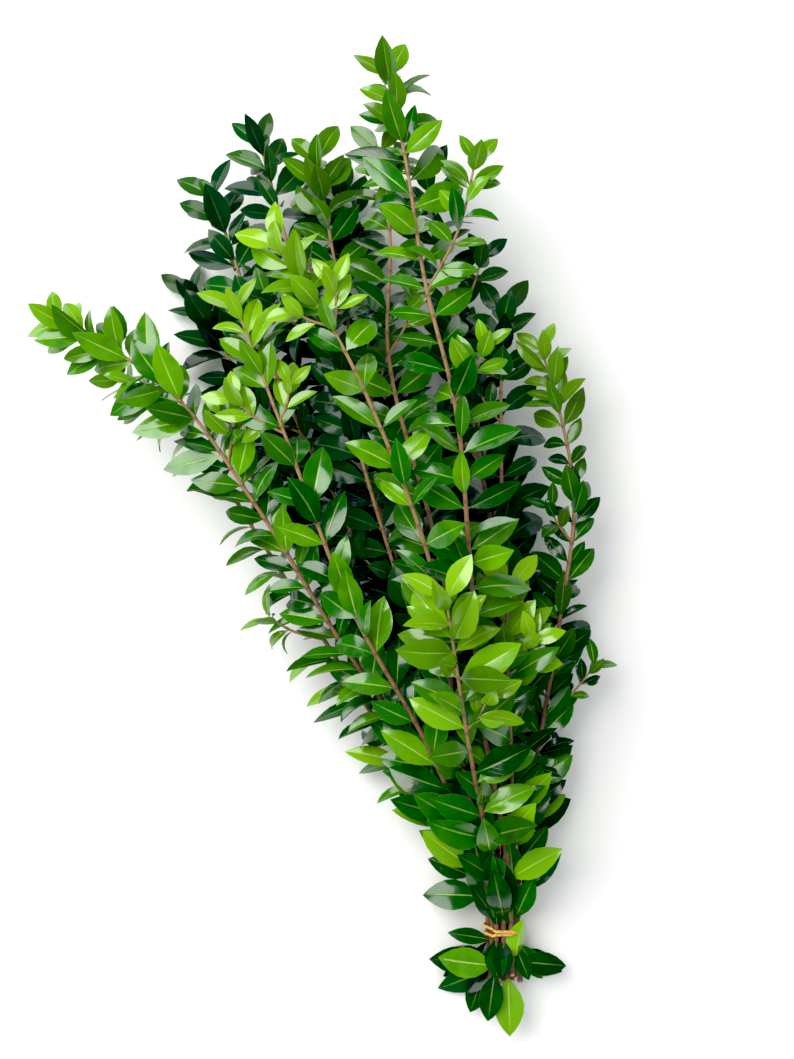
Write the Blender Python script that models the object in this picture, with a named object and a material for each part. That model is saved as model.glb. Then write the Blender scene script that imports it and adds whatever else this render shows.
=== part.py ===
"""A boxwood bunch: cut leafy stems held by a doubled rubber band, lying on a table.

Units are metres with +Z up, and the stems run along +Y from their cut ends to their tips.
Lengths are measured from the tie, the place on the table under the rubber band. At the end
the empty named bunch moves the origin to the middle of the footprint.
"""

import math
import random

import bmesh
import bpy
import numpy as np
from mathutils import Vector
from mathutils.bvhtree import BVHTree

MM = 0.001
UP = Vector((0, 0, 1))

# Stems: their size, and how they are packed where the band holds them
STEM_PITCH = 4.6 * MM
STEM_RADIUS = 2.1 * MM
STEM_TIP_RADIUS = 0.9 * MM
STEM_SIDES = 4
RING_SPACING = 40 * MM
HELD_LENGTH = 12 * MM
CUT_END_REACH = 31 * MM
CUT_END_STAGGER = 7 * MM
CUT_END_SPREAD = 1.2

# The sheaf keeps its order as it fans out, at this distance above the tie
FAN_DISTANCE = 50 * MM
FAN_WIDENING = 2.05
FAN_SHIFT = -9 * MM
FAN_HEIGHT = 24 * MM

# Side shoots
SHOOT_RADIUS = 1.0 * MM
SHOOT_TIP_RADIUS = 0.7 * MM
SHOOT_ANGLE = math.radians(42)

# Leaves stand in opposite pairs, and the solids carry every fourth or fifth pair. The pairs are
# turned round the stem by these angles, in degrees, one after another.
PAIR_SPACING = 12 * MM
PAIRS_PER_SOLID_PAIR = {"fresh": 4, "green": 4, "deep": 5}
PAIR_TURNS = (0, 55, -12, 125, 28)
TERMINAL_PAIR = 2 * MM
BARE_NEAR_TIE = 62 * MM
BARE_AT_ROOT = 6 * MM
ROOT_OFFSET = 0.4

# Leaf sizes, from the long ones near the tie to the young ones at a tip
LEAF_THICKNESS = 0.65 * MM
LEAF_WIDTH_RATIO = 0.46
LOW_LEAF_LENGTH = 38 * MM
HIGH_LEAF_LENGTH = 29 * MM
TIP_LEAF_SHARE = 0.84
SHOOT_LEAF_SHARE = 0.76
LEAF_LENGTH_FALLS_OVER = 380 * MM
TIP_LEAVES_WITHIN = 30 * MM

# How far a leaf leans out from its stem, in degrees: at a tip and at the tie. Between them each
# stem's own leans hold.
TIP_LEAN = 34
TIE_LEAN = 40
TIE_LEAVES_WITHIN = 150 * MM

# What varies from leaf to leaf: angles in degrees, and shares of the regular size
TURN_VARIES = 14
LEAN_VARIES = 8
TILT_VARIES = 20
LENGTH_VARIES = 0.12
WIDTH_VARIES = 0.1
FACE_UP_WEIGHTS = (0.75, 1.3)
FACE_IN_WEIGHTS = (0.0, 0.5)
FOLDS = (8, 20)
DROOPS = (12, 42)

# A leaf that would cross something is tried again, each time further from its regular place.
# A leaf of the rule strays at once, and a placed one only when it is tried again.
RULE_STRAY = 1.0
PLACED_STRAY = 0.0
ATTEMPTS = 12
STRAY_PER_ATTEMPT = 0.35
CLEARANCE = 0.4 * MM
CLEARANCE_SWELL = 1.05
CLEAR_OF_OWN_LEAVES_FROM = 0.16

# The rubber band goes twice round the sheaf and crosses itself once. Distances from the
# crossing are in turns.
BAND_THICKNESS = 1.1 * MM
BAND_WIDTH = 1.9 * MM
BAND_GAP = 0.3 * MM
BAND_SLANT = 2.6 * MM
BAND_CROSSING = math.radians(40)
BAND_RAISED_WITHIN = 0.15
BAND_LOW_BEYOND = 0.3
BAND_STEPS_PER_TURN = 24

ROW_RISE = STEM_PITCH * math.sqrt(3) / 2
TIE_HEIGHT = 2 * ROW_RISE + STEM_RADIUS + BAND_GAP + BAND_THICKNESS

# Each stem has a seat in the sheaf (row, place), rows counted up from the middle one and
# places in half pitches to the right; then its route above the fan, in millimetres from the
# tie, how far the leaves on its left and on its right lean out, in degrees, and its side shoots
# as (distance up the stem in mm, turn round it in degrees, length in mm). A turn of 0 is to the
# right, 90 is up. Some stems also have leaf_shares, the parts of the regular length and width
# that their leaves have; arched, how much more these bend down; and turned_in, how far their
# upper faces turn from straight up towards the tip of the stem.
STEMS = {
    "centre_short": {
        "seat": (2, 0),
        "tone": "fresh",
        "route": ((-24, 122, 76), (-33, 176, 96), (-39, 214, 105)),
        "leans": (50, 64),
        "shoots": ((150, 15, 30),),
    },
    "centre_left": {
        "seat": (1, -1),
        "tone": "fresh",
        "route": ((-30, 126, 58), (-45, 223, 90), (-72, 300, 110), (-102, 363, 118), (-136, 414, 113)),
        "leans": (34, 62),
        "shoots": ((395, 20, 28), (398, 172, 24)),
    },
    "centre_long": {
        "seat": (2, 2),
        "tone": "fresh",
        "route": ((-18, 151, 72), (-25, 239, 92), (-34, 325, 106), (-50, 389, 108), (-62, 465, 100),
                  (-72, 516, 92)),
        "leans": (62, 66),
        "shoots": ((340, 10, 38), (405, 12, 80)),
    },
    "left_inner": {
        "seat": (2, -2),
        "tone": "fresh",
        "route": ((-50, 126, 66), (-91, 201, 84), (-133, 311, 100), (-159, 380, 98)),
        "leans": (42, 30),
        "shoots": ((345, 180, 36), (352, 10, 24)),
    },
    "right_front": {
        "seat": (1, 3),
        "tone": "fresh",
        "route": ((1, 138, 58), (-2, 190, 73), (-1, 220, 78)),
        "leans": (52, 44),
        "shoots": ((175, 20, 28),),
    },
    "left_arm": {
        "seat": (1, -3),
        "tone": "fresh",
        "route": ((-58, 119, 42), (-104, 190, 60), (-150, 266, 76), (-203, 336, 88), (-240, 361, 92),
                  (-264, 372, 89)),
        "leans": (46, 38),
        "shoots": ((395, 195, 30), (340, 15, 32)),
    },
    "centre_back": {
        "seat": (1, 1),
        "tone": "green",
        "route": ((-23, 148, 50), (-47, 257, 70), (-72, 357, 84), (-71, 425, 86), (-77, 476, 80)),
        "leans": (55, 60),
        "shoots": ((370, 15, 36),),
    },
    "right_edge": {
        "seat": (0, 4),
        "tone": "green",
        "route": ((19, 108, 30), (33, 195, 38), (41, 276, 44), (30, 332, 46), (21, 363, 45)),
        "leans": (52, 34),
        "leaf_shares": (0.82, 0.82),
        "shoots": ((140, -8, 46), (250, 170, 26)),
    },
    "left_edge": {
        "seat": (0, -4),
        "tone": "green",
        "route": ((-61, 104, 28), (-103, 171, 40), (-150, 246, 50), (-192, 309, 54), (-228, 339, 49)),
        "leans": (68, 40),
        "leaf_shares": (1, 0.75),
        "arched": 0.5,
        "turned_in": 1.0,
        "shoots": ((215, 175, 38), (300, 350, 30)),
    },
    "dark_left": {
        "seat": (0, -2),
        "tone": "deep",
        "route": ((-34, 129, 42), (-68, 228, 60), (-97, 329, 70), (-106, 370, 66)),
        "leans": (52, 50),
        "shoots": ((235, 170, 32),),
    },
    "back_mid": {
        "seat": (0, 0),
        "tone": "green",
        "route": ((-22, 135, 38), (-50, 239, 50), (-95, 370, 62), (-115, 473, 66)),
        "leans": (50, 54),
        "shoots": ((410, 200, 38), (345, 20, 36)),
    },
    "right_dark": {
        "seat": (0, 2),
        "tone": "deep",
        "route": ((4, 133, 26), (-1, 235, 32), (-3, 330, 38), (-2, 386, 38)),
        "leans": (66, 54),
        "shoots": ((320, 160, 28),),
    },
    "back_mid_left": {
        "seat": (-1, -1),
        "tone": "deep",
        "route": ((-34, 134, 28), (-68, 239, 42), (-120, 380, 53), (-150, 486, 51)),
        "leans": (56, 52),
        "shoots": ((390, 160, 40),),
    },
    "back_left": {
        "seat": (-1, -3),
        "tone": "deep",
        "route": ((-46, 133, 22), (-87, 233, 32), (-140, 345, 42), (-180, 457, 42)),
        "leans": (56, 50),
        "shoots": ((335, 170, 42), (410, 15, 36)),
    },
    "back_right": {
        "seat": (-1, 1),
        "tone": "deep",
        "route": ((1, 133, 18), (-6, 233, 24), (-30, 370, 31), (-49, 468, 34)),
        "leans": (50, 54),
        "shoots": ((385, 8, 44), (300, 176, 34)),
    },
    "right_low": {
        "seat": (-1, 3),
        "tone": "deep",
        "route": ((19, 126, 13), (22, 170, 12), (20, 214, 11)),
        "leans": (50, 50),
        "shoots": (),
    },
    "under_left": {
        "seat": (-2, -2),
        "tone": "deep",
        "route": ((-46, 125, 8), (-96, 226, 8), (-150, 318, 8), (-197, 402, 8)),
        "leans": (52, 50),
        "shoots": (),
    },
    "under_mid": {
        "seat": (-2, 0),
        "tone": "deep",
        "route": ((-22, 132, 9), (-46, 239, 9), (-85, 380, 9), (-103, 465, 9)),
        "leans": (50, 50),
        "shoots": (),
    },
    "under_right": {
        "seat": (-2, 2),
        "tone": "deep",
        "route": ((6, 131, 8), (-2, 233, 8), (-27, 377, 8)),
        "leans": (50, 50),
        "shoots": (),
    },
}

# Leaves with a place and size of their own, which are those round the band and the most
# conspicuous of the rest: stem, distance above the band in mm, turn, lean, and length and width
# in mm
PLACED_LEAVES = (
    ("left_inner", -21, 166, 84, 36, 20),
    ("left_arm", -6, 178, 78, 28, 10),
    ("left_edge", -15, 184, 102, 31, 14),
    ("back_left", -26, 194, 120, 33, 17),
    ("left_inner", -25, 112, 162, 31, 16),
    ("centre_back", -28, 86, 166, 38, 19),
    ("right_front", -19, 12, 97, 33, 15),
    ("right_edge", -9, 2, 148, 30, 13),
    ("left_edge", 22, 174, 56, 38, 20),
    ("left_inner", 9, 150, 14, 32, 13),
    ("left_edge", 38, 176, 36, 30, 15),
    ("left_arm", 48, 165, 30, 41, 17),
    ("left_edge", 76, 176, 30, 34, 15),
    ("centre_short", 9, 92, 24, 50, 16),
    ("left_inner", 46, 80, 12, 34, 17),
    ("centre_left", 66, 60, 24, 34, 15),
    ("centre_long", 40, 20, 50, 42, 17),
    ("right_edge", 26, 4, 42, 36, 15),
    ("right_edge", 74, 8, 42, 30, 14),
    ("right_edge", 98, 4, 44, 30, 18),
    ("centre_short", 92, 12, 62, 36, 17),
    ("centre_short", 114, 8, 62, 32, 15),
    ("left_edge", 98, 150, 14, 30, 20),
    ("left_edge", 104, 24, 60, 29, 17),
    ("centre_left", 96, 160, 26, 42, 17),
    ("left_inner", 126, 168, 28, 40, 17),
    ("left_edge", 122, 178, 36, 38, 13),
    ("left_edge", 180, 180, 66, 33, 11),
    ("left_edge", 209, 182, 80, 38, 11),
    ("centre_short", 152, 172, 48, 38, 17),
    ("centre_short", 184, 10, 65, 42, 19),
    ("centre_short", 210, 170, 42, 32, 14),
    ("right_front", 164, 10, 42, 27, 13),
    ("right_front", 197, 14, 34, 29, 15),
    ("centre_long", 254, 8, 60, 34, 14),
    ("right_edge", 178, 6, 46, 29, 13),
    ("right_edge", 202, 100, 12, 30, 11),
    ("left_arm", 398, 70, 14, 34, 16),
    ("left_arm", 430, 30, 46, 28, 13),
    ("centre_left", 408, 150, 12, 31, 16),
)

# Leaves that lie flat on the table and carry the bunch: stem, distance above the band in mm,
# whether they point left (-1) or right (1), and how far they point up the stem
RESTING_LEAF_LENGTH = 36 * MM
RESTING_LEAF_WIDTH = 17 * MM
RESTING_LEAVES = (
    ("under_left", 330, 1, 0.7),
    ("under_mid", 455, -1, 0.7),
    ("right_low", 160, 1, 0.7),
    ("under_right", -18, 1, -0.4),
    ("under_left", -18, -1, -0.5),
)

# Linear colours of the finishes, with their roughness
COLOURS = {
    "fresh": ((0.16, 0.36, 0.02), 0.35),
    "green": ((0.07, 0.24, 0.02), 0.38),
    "deep": ((0.02, 0.11, 0.03), 0.42),
    "bark": ((0.20, 0.09, 0.05), 0.75),
    "rubber": ((0.55, 0.33, 0.10), 0.5),
}

# A blade's outline as (share of its length, share of its half width), and its point on the rib.
# Each face has seven corners: 0 the root, 1 and 2 up the left, 3 the tip, 4 and 5 down the
# right, and 6 on the rib.
BLADE_SIDES = ((0.34, 0.95), (0.70, 0.80))
BLADE_RIB = 0.5
BLADE_CORNERS = 7
BLADE_TOP = ((0, 5, 1), (1, 5, 6), (1, 6, 2), (2, 6, 3), (3, 6, 4), (4, 6, 5))
BLADE_OUTLINE = (0, 1, 2, 3, 4, 5)


def clear_scene():
    for obj in list(bpy.data.objects):
        bpy.data.objects.remove(obj)


def material(name):
    colour, roughness = COLOURS[name]
    finish = bpy.data.materials.get(name) or bpy.data.materials.new(name)
    finish.use_nodes = True
    finish.diffuse_color = (*colour, 1)
    shader = finish.node_tree.nodes["Principled BSDF"]
    shader.inputs["Base Color"].default_value = (*colour, 1)
    shader.inputs["Roughness"].default_value = roughness
    shader.inputs["Metallic"].default_value = 0
    return finish


def add_object(name, corners, faces, finish):
    mesh = bpy.data.meshes.new(name)
    mesh.from_pydata(corners, [], faces)
    mesh.materials.append(material(finish))
    obj = bpy.data.objects.new(name, mesh)
    bpy.context.scene.collection.objects.link(obj)
    return obj


def smooth_line(points, spacing):
    """Points at about the spacing on a smooth curve through the given ones, which it keeps."""
    at = [0.0]
    for a, b in zip(points, points[1:]):
        at.append(at[-1] + (b - a).length)
    steps = [(b - a) / (t - s) for a, b, s, t in zip(points, points[1:], at, at[1:])]
    slopes = [steps[0]]
    for i in range(1, len(points) - 1):
        before, after = at[i] - at[i - 1], at[i + 1] - at[i]
        slopes.append((steps[i - 1] * after + steps[i] * before) / (before + after))
    slopes.append(steps[-1])
    line = [points[0]]
    for i in range(len(points) - 1):
        span = at[i + 1] - at[i]
        count = max(1, round(span / spacing))
        for n in range(1, count + 1):
            u = n / count
            line.append(
                points[i] * (2 * u**3 - 3 * u**2 + 1)
                + slopes[i] * span * (u**3 - 2 * u**2 + u)
                + points[i + 1] * (3 * u**2 - 2 * u**3)
                + slopes[i + 1] * span * (u**3 - u**2)
            )
    return line


def lengths_along(line):
    at = [0.0]
    for a, b in zip(line, line[1:]):
        at.append(at[-1] + (b - a).length)
    return at


def place_on(line, distance):
    """The point and direction at a distance along a line."""
    for a, b in zip(line, line[1:]):
        step = (b - a).length
        if distance <= step or b is line[-1]:
            return a + (b - a) * (distance / step), (b - a).normalized()
        distance -= step


def round_stem(direction, turn):
    """The unit vector out from a stem at a turn: 0 is to the right and 90 degrees is up."""
    right = direction.cross(UP).normalized()
    return right * math.cos(turn) + right.cross(direction) * math.sin(turn)


def tube(line, radii):
    """A closed tube's corners and faces, with a flat side to the right, above, left and below."""
    corners, faces = [], []
    sides = STEM_SIDES
    for i, point in enumerate(line):
        ahead = (line[min(i + 1, len(line) - 1)] - line[max(i - 1, 0)]).normalized()
        for n in range(sides):
            corners.append(point + round_stem(ahead, math.tau * (n + 0.5) / sides) * radii[i])
    for i in range(len(line) - 1):
        for n in range(sides):
            a, b = i * sides + n, i * sides + (n + 1) % sides
            faces += [(a, a + sides, b), (b, a + sides, b + sides)]
    last = (len(line) - 1) * sides
    for n in range(1, sides - 1):
        faces += [(0, n, n + 1), (last, last + n + 1, last + n)]
    return corners, faces


def radius_at(branch, distance):
    return float(np.interp(distance, lengths_along(branch["line"]), branch["radii"]))


def seat_of(stem):
    row, place = stem["seat"]
    return place * STEM_PITCH / 2, row * ROW_RISE


def stem_line(name, stem):
    """A stem's route from its cut end, through the tie and the fan, to its tip."""
    x, z = seat_of(stem)
    reach = CUT_END_REACH + random.Random(f"cut end {name}").uniform(-1, 1) * CUT_END_STAGGER
    points = [
        Vector((x * CUT_END_SPREAD, -reach, TIE_HEIGHT + z)),
        Vector((x, -HELD_LENGTH / 2, TIE_HEIGHT + z)),
        Vector((x, HELD_LENGTH / 2, TIE_HEIGHT + z)),
        Vector((FAN_SHIFT + x * FAN_WIDENING, FAN_DISTANCE, FAN_HEIGHT + z * FAN_WIDENING)),
    ]
    points += [Vector(point) * MM for point in stem["route"]]
    return smooth_line(points, RING_SPACING), reach


def taper(line, thick, thin):
    at = lengths_along(line)
    return [thin + (thick - thin) * (1 - share / at[-1]) ** 0.8 for share in at]


def shoot_line(line, start, turn, length):
    """A side shoot leaves the stem at an angle, then bends towards its direction and up."""
    root, ahead = place_on(line, start)
    outward = round_stem(ahead, turn)
    first = ahead * math.cos(SHOOT_ANGLE) + outward * math.sin(SHOOT_ANGLE)
    second = (first * 2 + ahead + UP * 0.3).normalized()
    middle = root + first * (length / 2)
    return [root, middle, middle + second * (length / 2)]


def blade_faces():
    """Triangles of both faces and the edge; the lower face's corners follow the upper's."""
    faces = list(BLADE_TOP)
    faces += [tuple(corner + BLADE_CORNERS for corner in reversed(face)) for face in BLADE_TOP]
    for a, b in zip(BLADE_OUTLINE, BLADE_OUTLINE[1:] + BLADE_OUTLINE[:1]):
        below_a, below_b = a + BLADE_CORNERS, b + BLADE_CORNERS
        faces += [(a, b, below_b), (a, below_b, below_a)]
    return faces


BLADE_FACES = blade_faces()


def blade_corners(leaf, thickness=LEAF_THICKNESS, swell=1.0, start=0.0):
    """A blade folded along its rib and bent down towards its tip.

    swell widens and lengthens it for clearance tests, and start leaves out its root.
    """
    along, normal = leaf["along"], leaf["normal"]
    side = along.cross(normal)
    length = leaf["length"] * swell
    half_width = leaf["width"] / 2 * swell
    bend = leaf["droop"]

    def at(share, reach):
        angle = bend * share
        point = leaf["root"] + along * (math.sin(angle) / bend * length)
        point -= normal * ((1 - math.cos(angle)) / bend * length)
        tilted = normal * math.cos(angle) + along * math.sin(angle)
        out = side * math.cos(leaf["fold"]) * reach
        point += out + tilted * (math.sin(leaf["fold"]) * abs(reach))
        return point + tilted * (thickness / 2), point - tilted * (thickness / 2)

    rows = [at(start, 0)]
    rows += [at(share, -half_width * wide) for share, wide in BLADE_SIDES]
    rows += [at(1, 0)]
    rows += [at(share, half_width * wide) for share, wide in reversed(BLADE_SIDES)]
    rows += [at(BLADE_RIB, 0)]
    return [top for top, _ in rows] + [bottom for _, bottom in rows]


class Thicket:
    """What is already in place, so that a new leaf can be bent clear of it."""

    def __init__(self):
        self.trees = []
        self.owners = []
        self.lows = np.empty((0, 3))
        self.highs = np.empty((0, 3))

    def add(self, owner, corners, faces):
        points = np.array(corners)
        self.trees.append(BVHTree.FromPolygons(corners, faces))
        self.owners.append(owner)
        self.lows = np.vstack((self.lows, points.min(axis=0)))
        self.highs = np.vstack((self.highs, points.max(axis=0)))

    def is_clear(self, owner, leaf):
        """The whole blade clears other stems, and all but its root clears its own leaves."""
        grown = LEAF_THICKNESS + 2 * CLEARANCE
        whole = blade_corners(leaf, grown, CLEARANCE_SWELL)
        outer = blade_corners(leaf, grown, CLEARANCE_SWELL, CLEAR_OF_OWN_LEAVES_FROM)
        if min(corner.z for corner in blade_corners(leaf)) < CLEARANCE:
            return False
        points = np.array(whole)
        near = (self.lows <= points.max(axis=0)) & (self.highs >= points.min(axis=0))
        whole_tree = BVHTree.FromPolygons(whole, BLADE_FACES)
        outer_tree = BVHTree.FromPolygons(outer, BLADE_FACES)
        for i in np.flatnonzero(near.all(axis=1)):
            if self.owners[i] == owner + " wood":
                continue
            tree = outer_tree if self.owners[i] == owner else whole_tree
            if tree.overlap(self.trees[i]):
                return False
        return True


def leaf_size(from_tie, from_tip, on_shoot):
    """The regular length and width of a leaf at this place."""
    share = min(1, max(0, from_tie / LEAF_LENGTH_FALLS_OVER))
    full = LOW_LEAF_LENGTH + (HIGH_LEAF_LENGTH - LOW_LEAF_LENGTH) * share
    if on_shoot:
        full *= SHOOT_LEAF_SHARE
    grown = min(1, from_tip / TIP_LEAVES_WITHIN)
    length = full * (TIP_LEAF_SHARE + (1 - TIP_LEAF_SHARE) * grown)
    return length, length * LEAF_WIDTH_RATIO


def leaf_lean(from_tie, from_tip, regular):
    if from_tip < TIP_LEAVES_WITHIN:
        return TIP_LEAN + (regular - TIP_LEAN) * from_tip / TIP_LEAVES_WITHIN
    return regular + (TIE_LEAN - regular) * max(0, 1 - from_tie / TIE_LEAVES_WITHIN)


def draw_leaf(branch, from_root, turn, lean, size, chance, stray):
    """One leaf, whose upper face turns up and towards the tip of the stem."""
    point, ahead = place_on(branch["line"], from_root)
    turn = math.radians(turn + chance.uniform(-TURN_VARIES, TURN_VARIES) * stray)
    lean = math.radians(lean + chance.uniform(-LEAN_VARIES, LEAN_VARIES) * stray)
    outward = round_stem(ahead, turn)
    along = (ahead * math.cos(lean) + outward * math.sin(lean)).normalized()
    face_in = (ahead - along * ahead.dot(along)).normalized()
    face_up = (UP - along * UP.dot(along)).normalized()
    stem = STEMS[branch["stem"]]
    beyond_tie = min(1, max(0, (branch["root_above_tie"] + from_root) / TIE_LEAVES_WITHIN))
    normal = face_up * chance.uniform(*FACE_UP_WEIGHTS)
    normal += face_in * (chance.uniform(*FACE_IN_WEIGHTS) + stem.get("turned_in", 0) * beyond_tie)
    normal.normalize()
    tilt = math.radians(chance.uniform(-TILT_VARIES, TILT_VARIES) * min(stray, 2))
    normal = (normal + along.cross(normal) * math.tan(tilt)).normalized()
    share = 1 + chance.uniform(-LENGTH_VARIES, LENGTH_VARIES) * min(stray, 1)
    width_share = 1 + chance.uniform(-WIDTH_VARIES, WIDTH_VARIES) * min(stray, 1)
    return {
        "root": point + outward * (radius_at(branch, from_root) * ROOT_OFFSET),
        "along": along,
        "normal": normal,
        "length": size[0] * share,
        "width": size[1] * share * width_share,
        "fold": math.radians(chance.uniform(*FOLDS)),
        "droop": math.radians(chance.uniform(*DROOPS)) * (1 + stem.get("arched", 0) * beyond_tie),
    }


def grow_leaf(thicket, branch, from_root, turn, lean, size, name, first_stray=RULE_STRAY):
    """Places a leaf clear of all that is there, and returns its corners, or nothing."""
    for attempt in range(ATTEMPTS):
        chance = random.Random(f"{branch['key']} {name} {attempt}")
        stray = first_stray + STRAY_PER_ATTEMPT * attempt
        leaf = draw_leaf(branch, from_root, turn, lean, size, chance, stray)
        if thicket.is_clear(branch["stem"], leaf):
            corners = blade_corners(leaf)
            thicket.add(branch["stem"], corners, BLADE_FACES)
            return [corners]
    return []


def grow_pair(thicket, branch, pair):
    """What fits of one opposite pair, counted down from the tip."""
    from_tip = TERMINAL_PAIR + pair * PAIR_SPACING
    from_root = branch["length"] - from_tip
    from_tie = branch["root_above_tie"] + from_root
    if from_root < BARE_AT_ROOT or from_tie < BARE_NEAR_TIE:
        return []
    turn = PAIR_TURNS[pair % len(PAIR_TURNS)]
    stem = STEMS[branch["stem"]]
    left, right = (leaf_lean(from_tie, from_tip, lean) for lean in stem["leans"])
    regular = leaf_size(from_tie, from_tip, branch["is_shoot"])
    size = [full * share for full, share in zip(regular, stem.get("leaf_shares", (1, 1)))]
    first = grow_leaf(thicket, branch, from_root, turn, right, size, f"{pair} 0")
    return first + grow_leaf(thicket, branch, from_root, turn + 180, left, size, f"{pair} 1")


def resting_leaf(branch, from_root, side, forward):
    """A leaf whose root is on the stem and whose blade lies flat on the table."""
    point, ahead = place_on(branch["line"], from_root)
    along = ahead * forward + round_stem(ahead, 0) * side
    along.z = 0
    leaf = {
        "root": point,
        "along": along.normalized(),
        "normal": UP,
        "length": RESTING_LEAF_LENGTH,
        "width": RESTING_LEAF_WIDTH,
        "fold": 0,
        "droop": math.radians(1),
    }
    corners = blade_corners(leaf)
    for i, corner in enumerate(corners):
        if i % BLADE_CORNERS:
            corner.z = LEAF_THICKNESS if i < BLADE_CORNERS else 0
    return corners


def branches_of(name, stem):
    """A stem and its side shoots, as lines with what the leaves need to know of them."""
    line, reach = stem_line(name, stem)
    length = lengths_along(line)[-1]
    branches = [
        {
            "key": name,
            "stem": name,
            "line": line,
            "length": length,
            "root_above_tie": -reach,
            "radii": taper(line, STEM_RADIUS, STEM_TIP_RADIUS),
            "is_shoot": False,
        }
    ]
    for number, (start, turn, shoot_length) in enumerate(stem["shoots"]):
        shoot = shoot_line(line, start * MM + reach, math.radians(turn), shoot_length * MM)
        branches.append(
            {
                "key": f"{name} shoot {number}",
                "stem": name,
                "line": shoot,
                "length": lengths_along(shoot)[-1],
                "root_above_tie": start * MM,
                "radii": taper(shoot, SHOOT_RADIUS, SHOOT_TIP_RADIUS),
                "is_shoot": True,
            }
        )
    return branches


def band_line():
    """The band's path twice round the six corner stems, as (place, outward).

    It slants from one side of the tie to the other and back, and meets itself half way round
    each turn, where the second turn rises over the first.
    """
    corner_seat = 2 * STEM_PITCH
    lift = STEM_RADIUS + BAND_GAP + BAND_THICKNESS / 2
    path = []
    for step in range(2 * BAND_STEPS_PER_TURN):
        turn = step / BAND_STEPS_PER_TURN
        angle = math.tau * turn + BAND_CROSSING - math.pi
        corner = round(angle / (math.pi / 3)) * math.pi / 3
        outward = Vector((math.cos(angle), 0, math.sin(angle)))
        seat = Vector((math.cos(corner), 0, math.sin(corner))) * corner_seat
        from_crossing = abs(turn - 1.5)
        over = (BAND_LOW_BEYOND - from_crossing) / (BAND_LOW_BEYOND - BAND_RAISED_WITHIN)
        rise = (BAND_THICKNESS + BAND_GAP) * min(1, max(0, over))
        slant = Vector((0, BAND_SLANT * math.cos(math.pi * turn), 0))
        path.append((seat + outward * (lift + rise) + slant, outward))
    return path


def rubber_band():
    """The band as a closed loop of rectangular section."""
    corners, faces = [], []
    centre = Vector((0, 0, TIE_HEIGHT))
    path = band_line()
    for place, outward in path:
        out = outward * (BAND_THICKNESS / 2)
        wide = Vector((0, BAND_WIDTH / 2, 0))
        for corner in (out + wide, out - wide, -out - wide, -out + wide):
            corners.append(centre + place + corner)
    for i in range(len(path)):
        j = (i + 1) % len(path)
        for n in range(4):
            m = (n + 1) % 4
            a, b, c, d = i * 4 + n, i * 4 + m, j * 4 + m, j * 4 + n
            faces += [(a, b, c), (a, c, d)]
    return corners, faces


def fuse(wood, pieces):
    """One Boolean union joins shoots and leaves to their stem."""
    group = bpy.data.collections.new(wood.name + " pieces")
    for piece in pieces:
        bpy.context.scene.collection.objects.unlink(piece)
        group.objects.link(piece)
    bpy.context.scene.collection.children.link(group)
    join = wood.modifiers.new("fuse", "BOOLEAN")
    join.operation = "UNION"
    join.operand_type = "COLLECTION"
    join.collection = group
    join.solver = "EXACT"
    join.material_mode = "TRANSFER"
    with bpy.context.temp_override(object=wood):
        bpy.ops.object.modifier_apply(modifier=join.name)
    for piece in pieces:
        bpy.data.objects.remove(piece)
    bpy.data.collections.remove(group)


def outward_facing(obj):
    """Recalculates the normals, so that the band and tubes face out."""
    work = bmesh.new()
    work.from_mesh(obj.data)
    bmesh.ops.recalc_face_normals(work, faces=work.faces)
    work.to_mesh(obj.data)
    work.free()


def footprint_centre(objects):
    lows, highs = [], []
    for obj in objects:
        points = np.array([corner.co for corner in obj.data.vertices])
        lows.append(points.min(axis=0))
        highs.append(points.max(axis=0))
    middle = (np.min(lows, axis=0) + np.max(highs, axis=0)) / 2
    return Vector((middle[0], middle[1], 0))


def grow_leaves(thicket, branches):
    """The corners of every leaf, listed by stem: the placed ones first, then the rest by rule."""
    leaves = {name: [] for name in branches}
    for name, above, side, forward in RESTING_LEAVES:
        limb = branches[name][0]
        corners = resting_leaf(limb, above * MM - limb["root_above_tie"], side, forward)
        thicket.add(name, corners, BLADE_FACES)
        leaves[name].append(corners)
    for name, above, turn, lean, length, width in PLACED_LEAVES:
        limb = branches[name][0]
        from_root = above * MM - limb["root_above_tie"]
        size = (length * MM, width * MM)
        key = f"placed {above}"
        leaves[name] += grow_leaf(thicket, limb, from_root, turn, lean, size, key, PLACED_STRAY)
    for name, limbs in branches.items():
        every = PAIRS_PER_SOLID_PAIR[STEMS[name]["tone"]]
        for limb in limbs:
            for pair in range(0, int(limb["length"] / PAIR_SPACING), every):
                leaves[name] += grow_pair(thicket, limb, pair)
    return leaves


def leafy_stem(name, limbs, leaves):
    """A stem with its side shoots and leaves, as one body."""
    stem = add_object("leafy_stem_" + name, *limbs[0]["tube"], "bark")
    outward_facing(stem)
    pieces = []
    for limb in limbs[1:]:
        shoot = add_object("shoot", *limb["tube"], "bark")
        outward_facing(shoot)
        pieces.append(shoot)
    for corners in leaves:
        pieces.append(add_object("leaf", corners, BLADE_FACES, STEMS[name]["tone"]))
    fuse(stem, pieces)
    return stem


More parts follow.
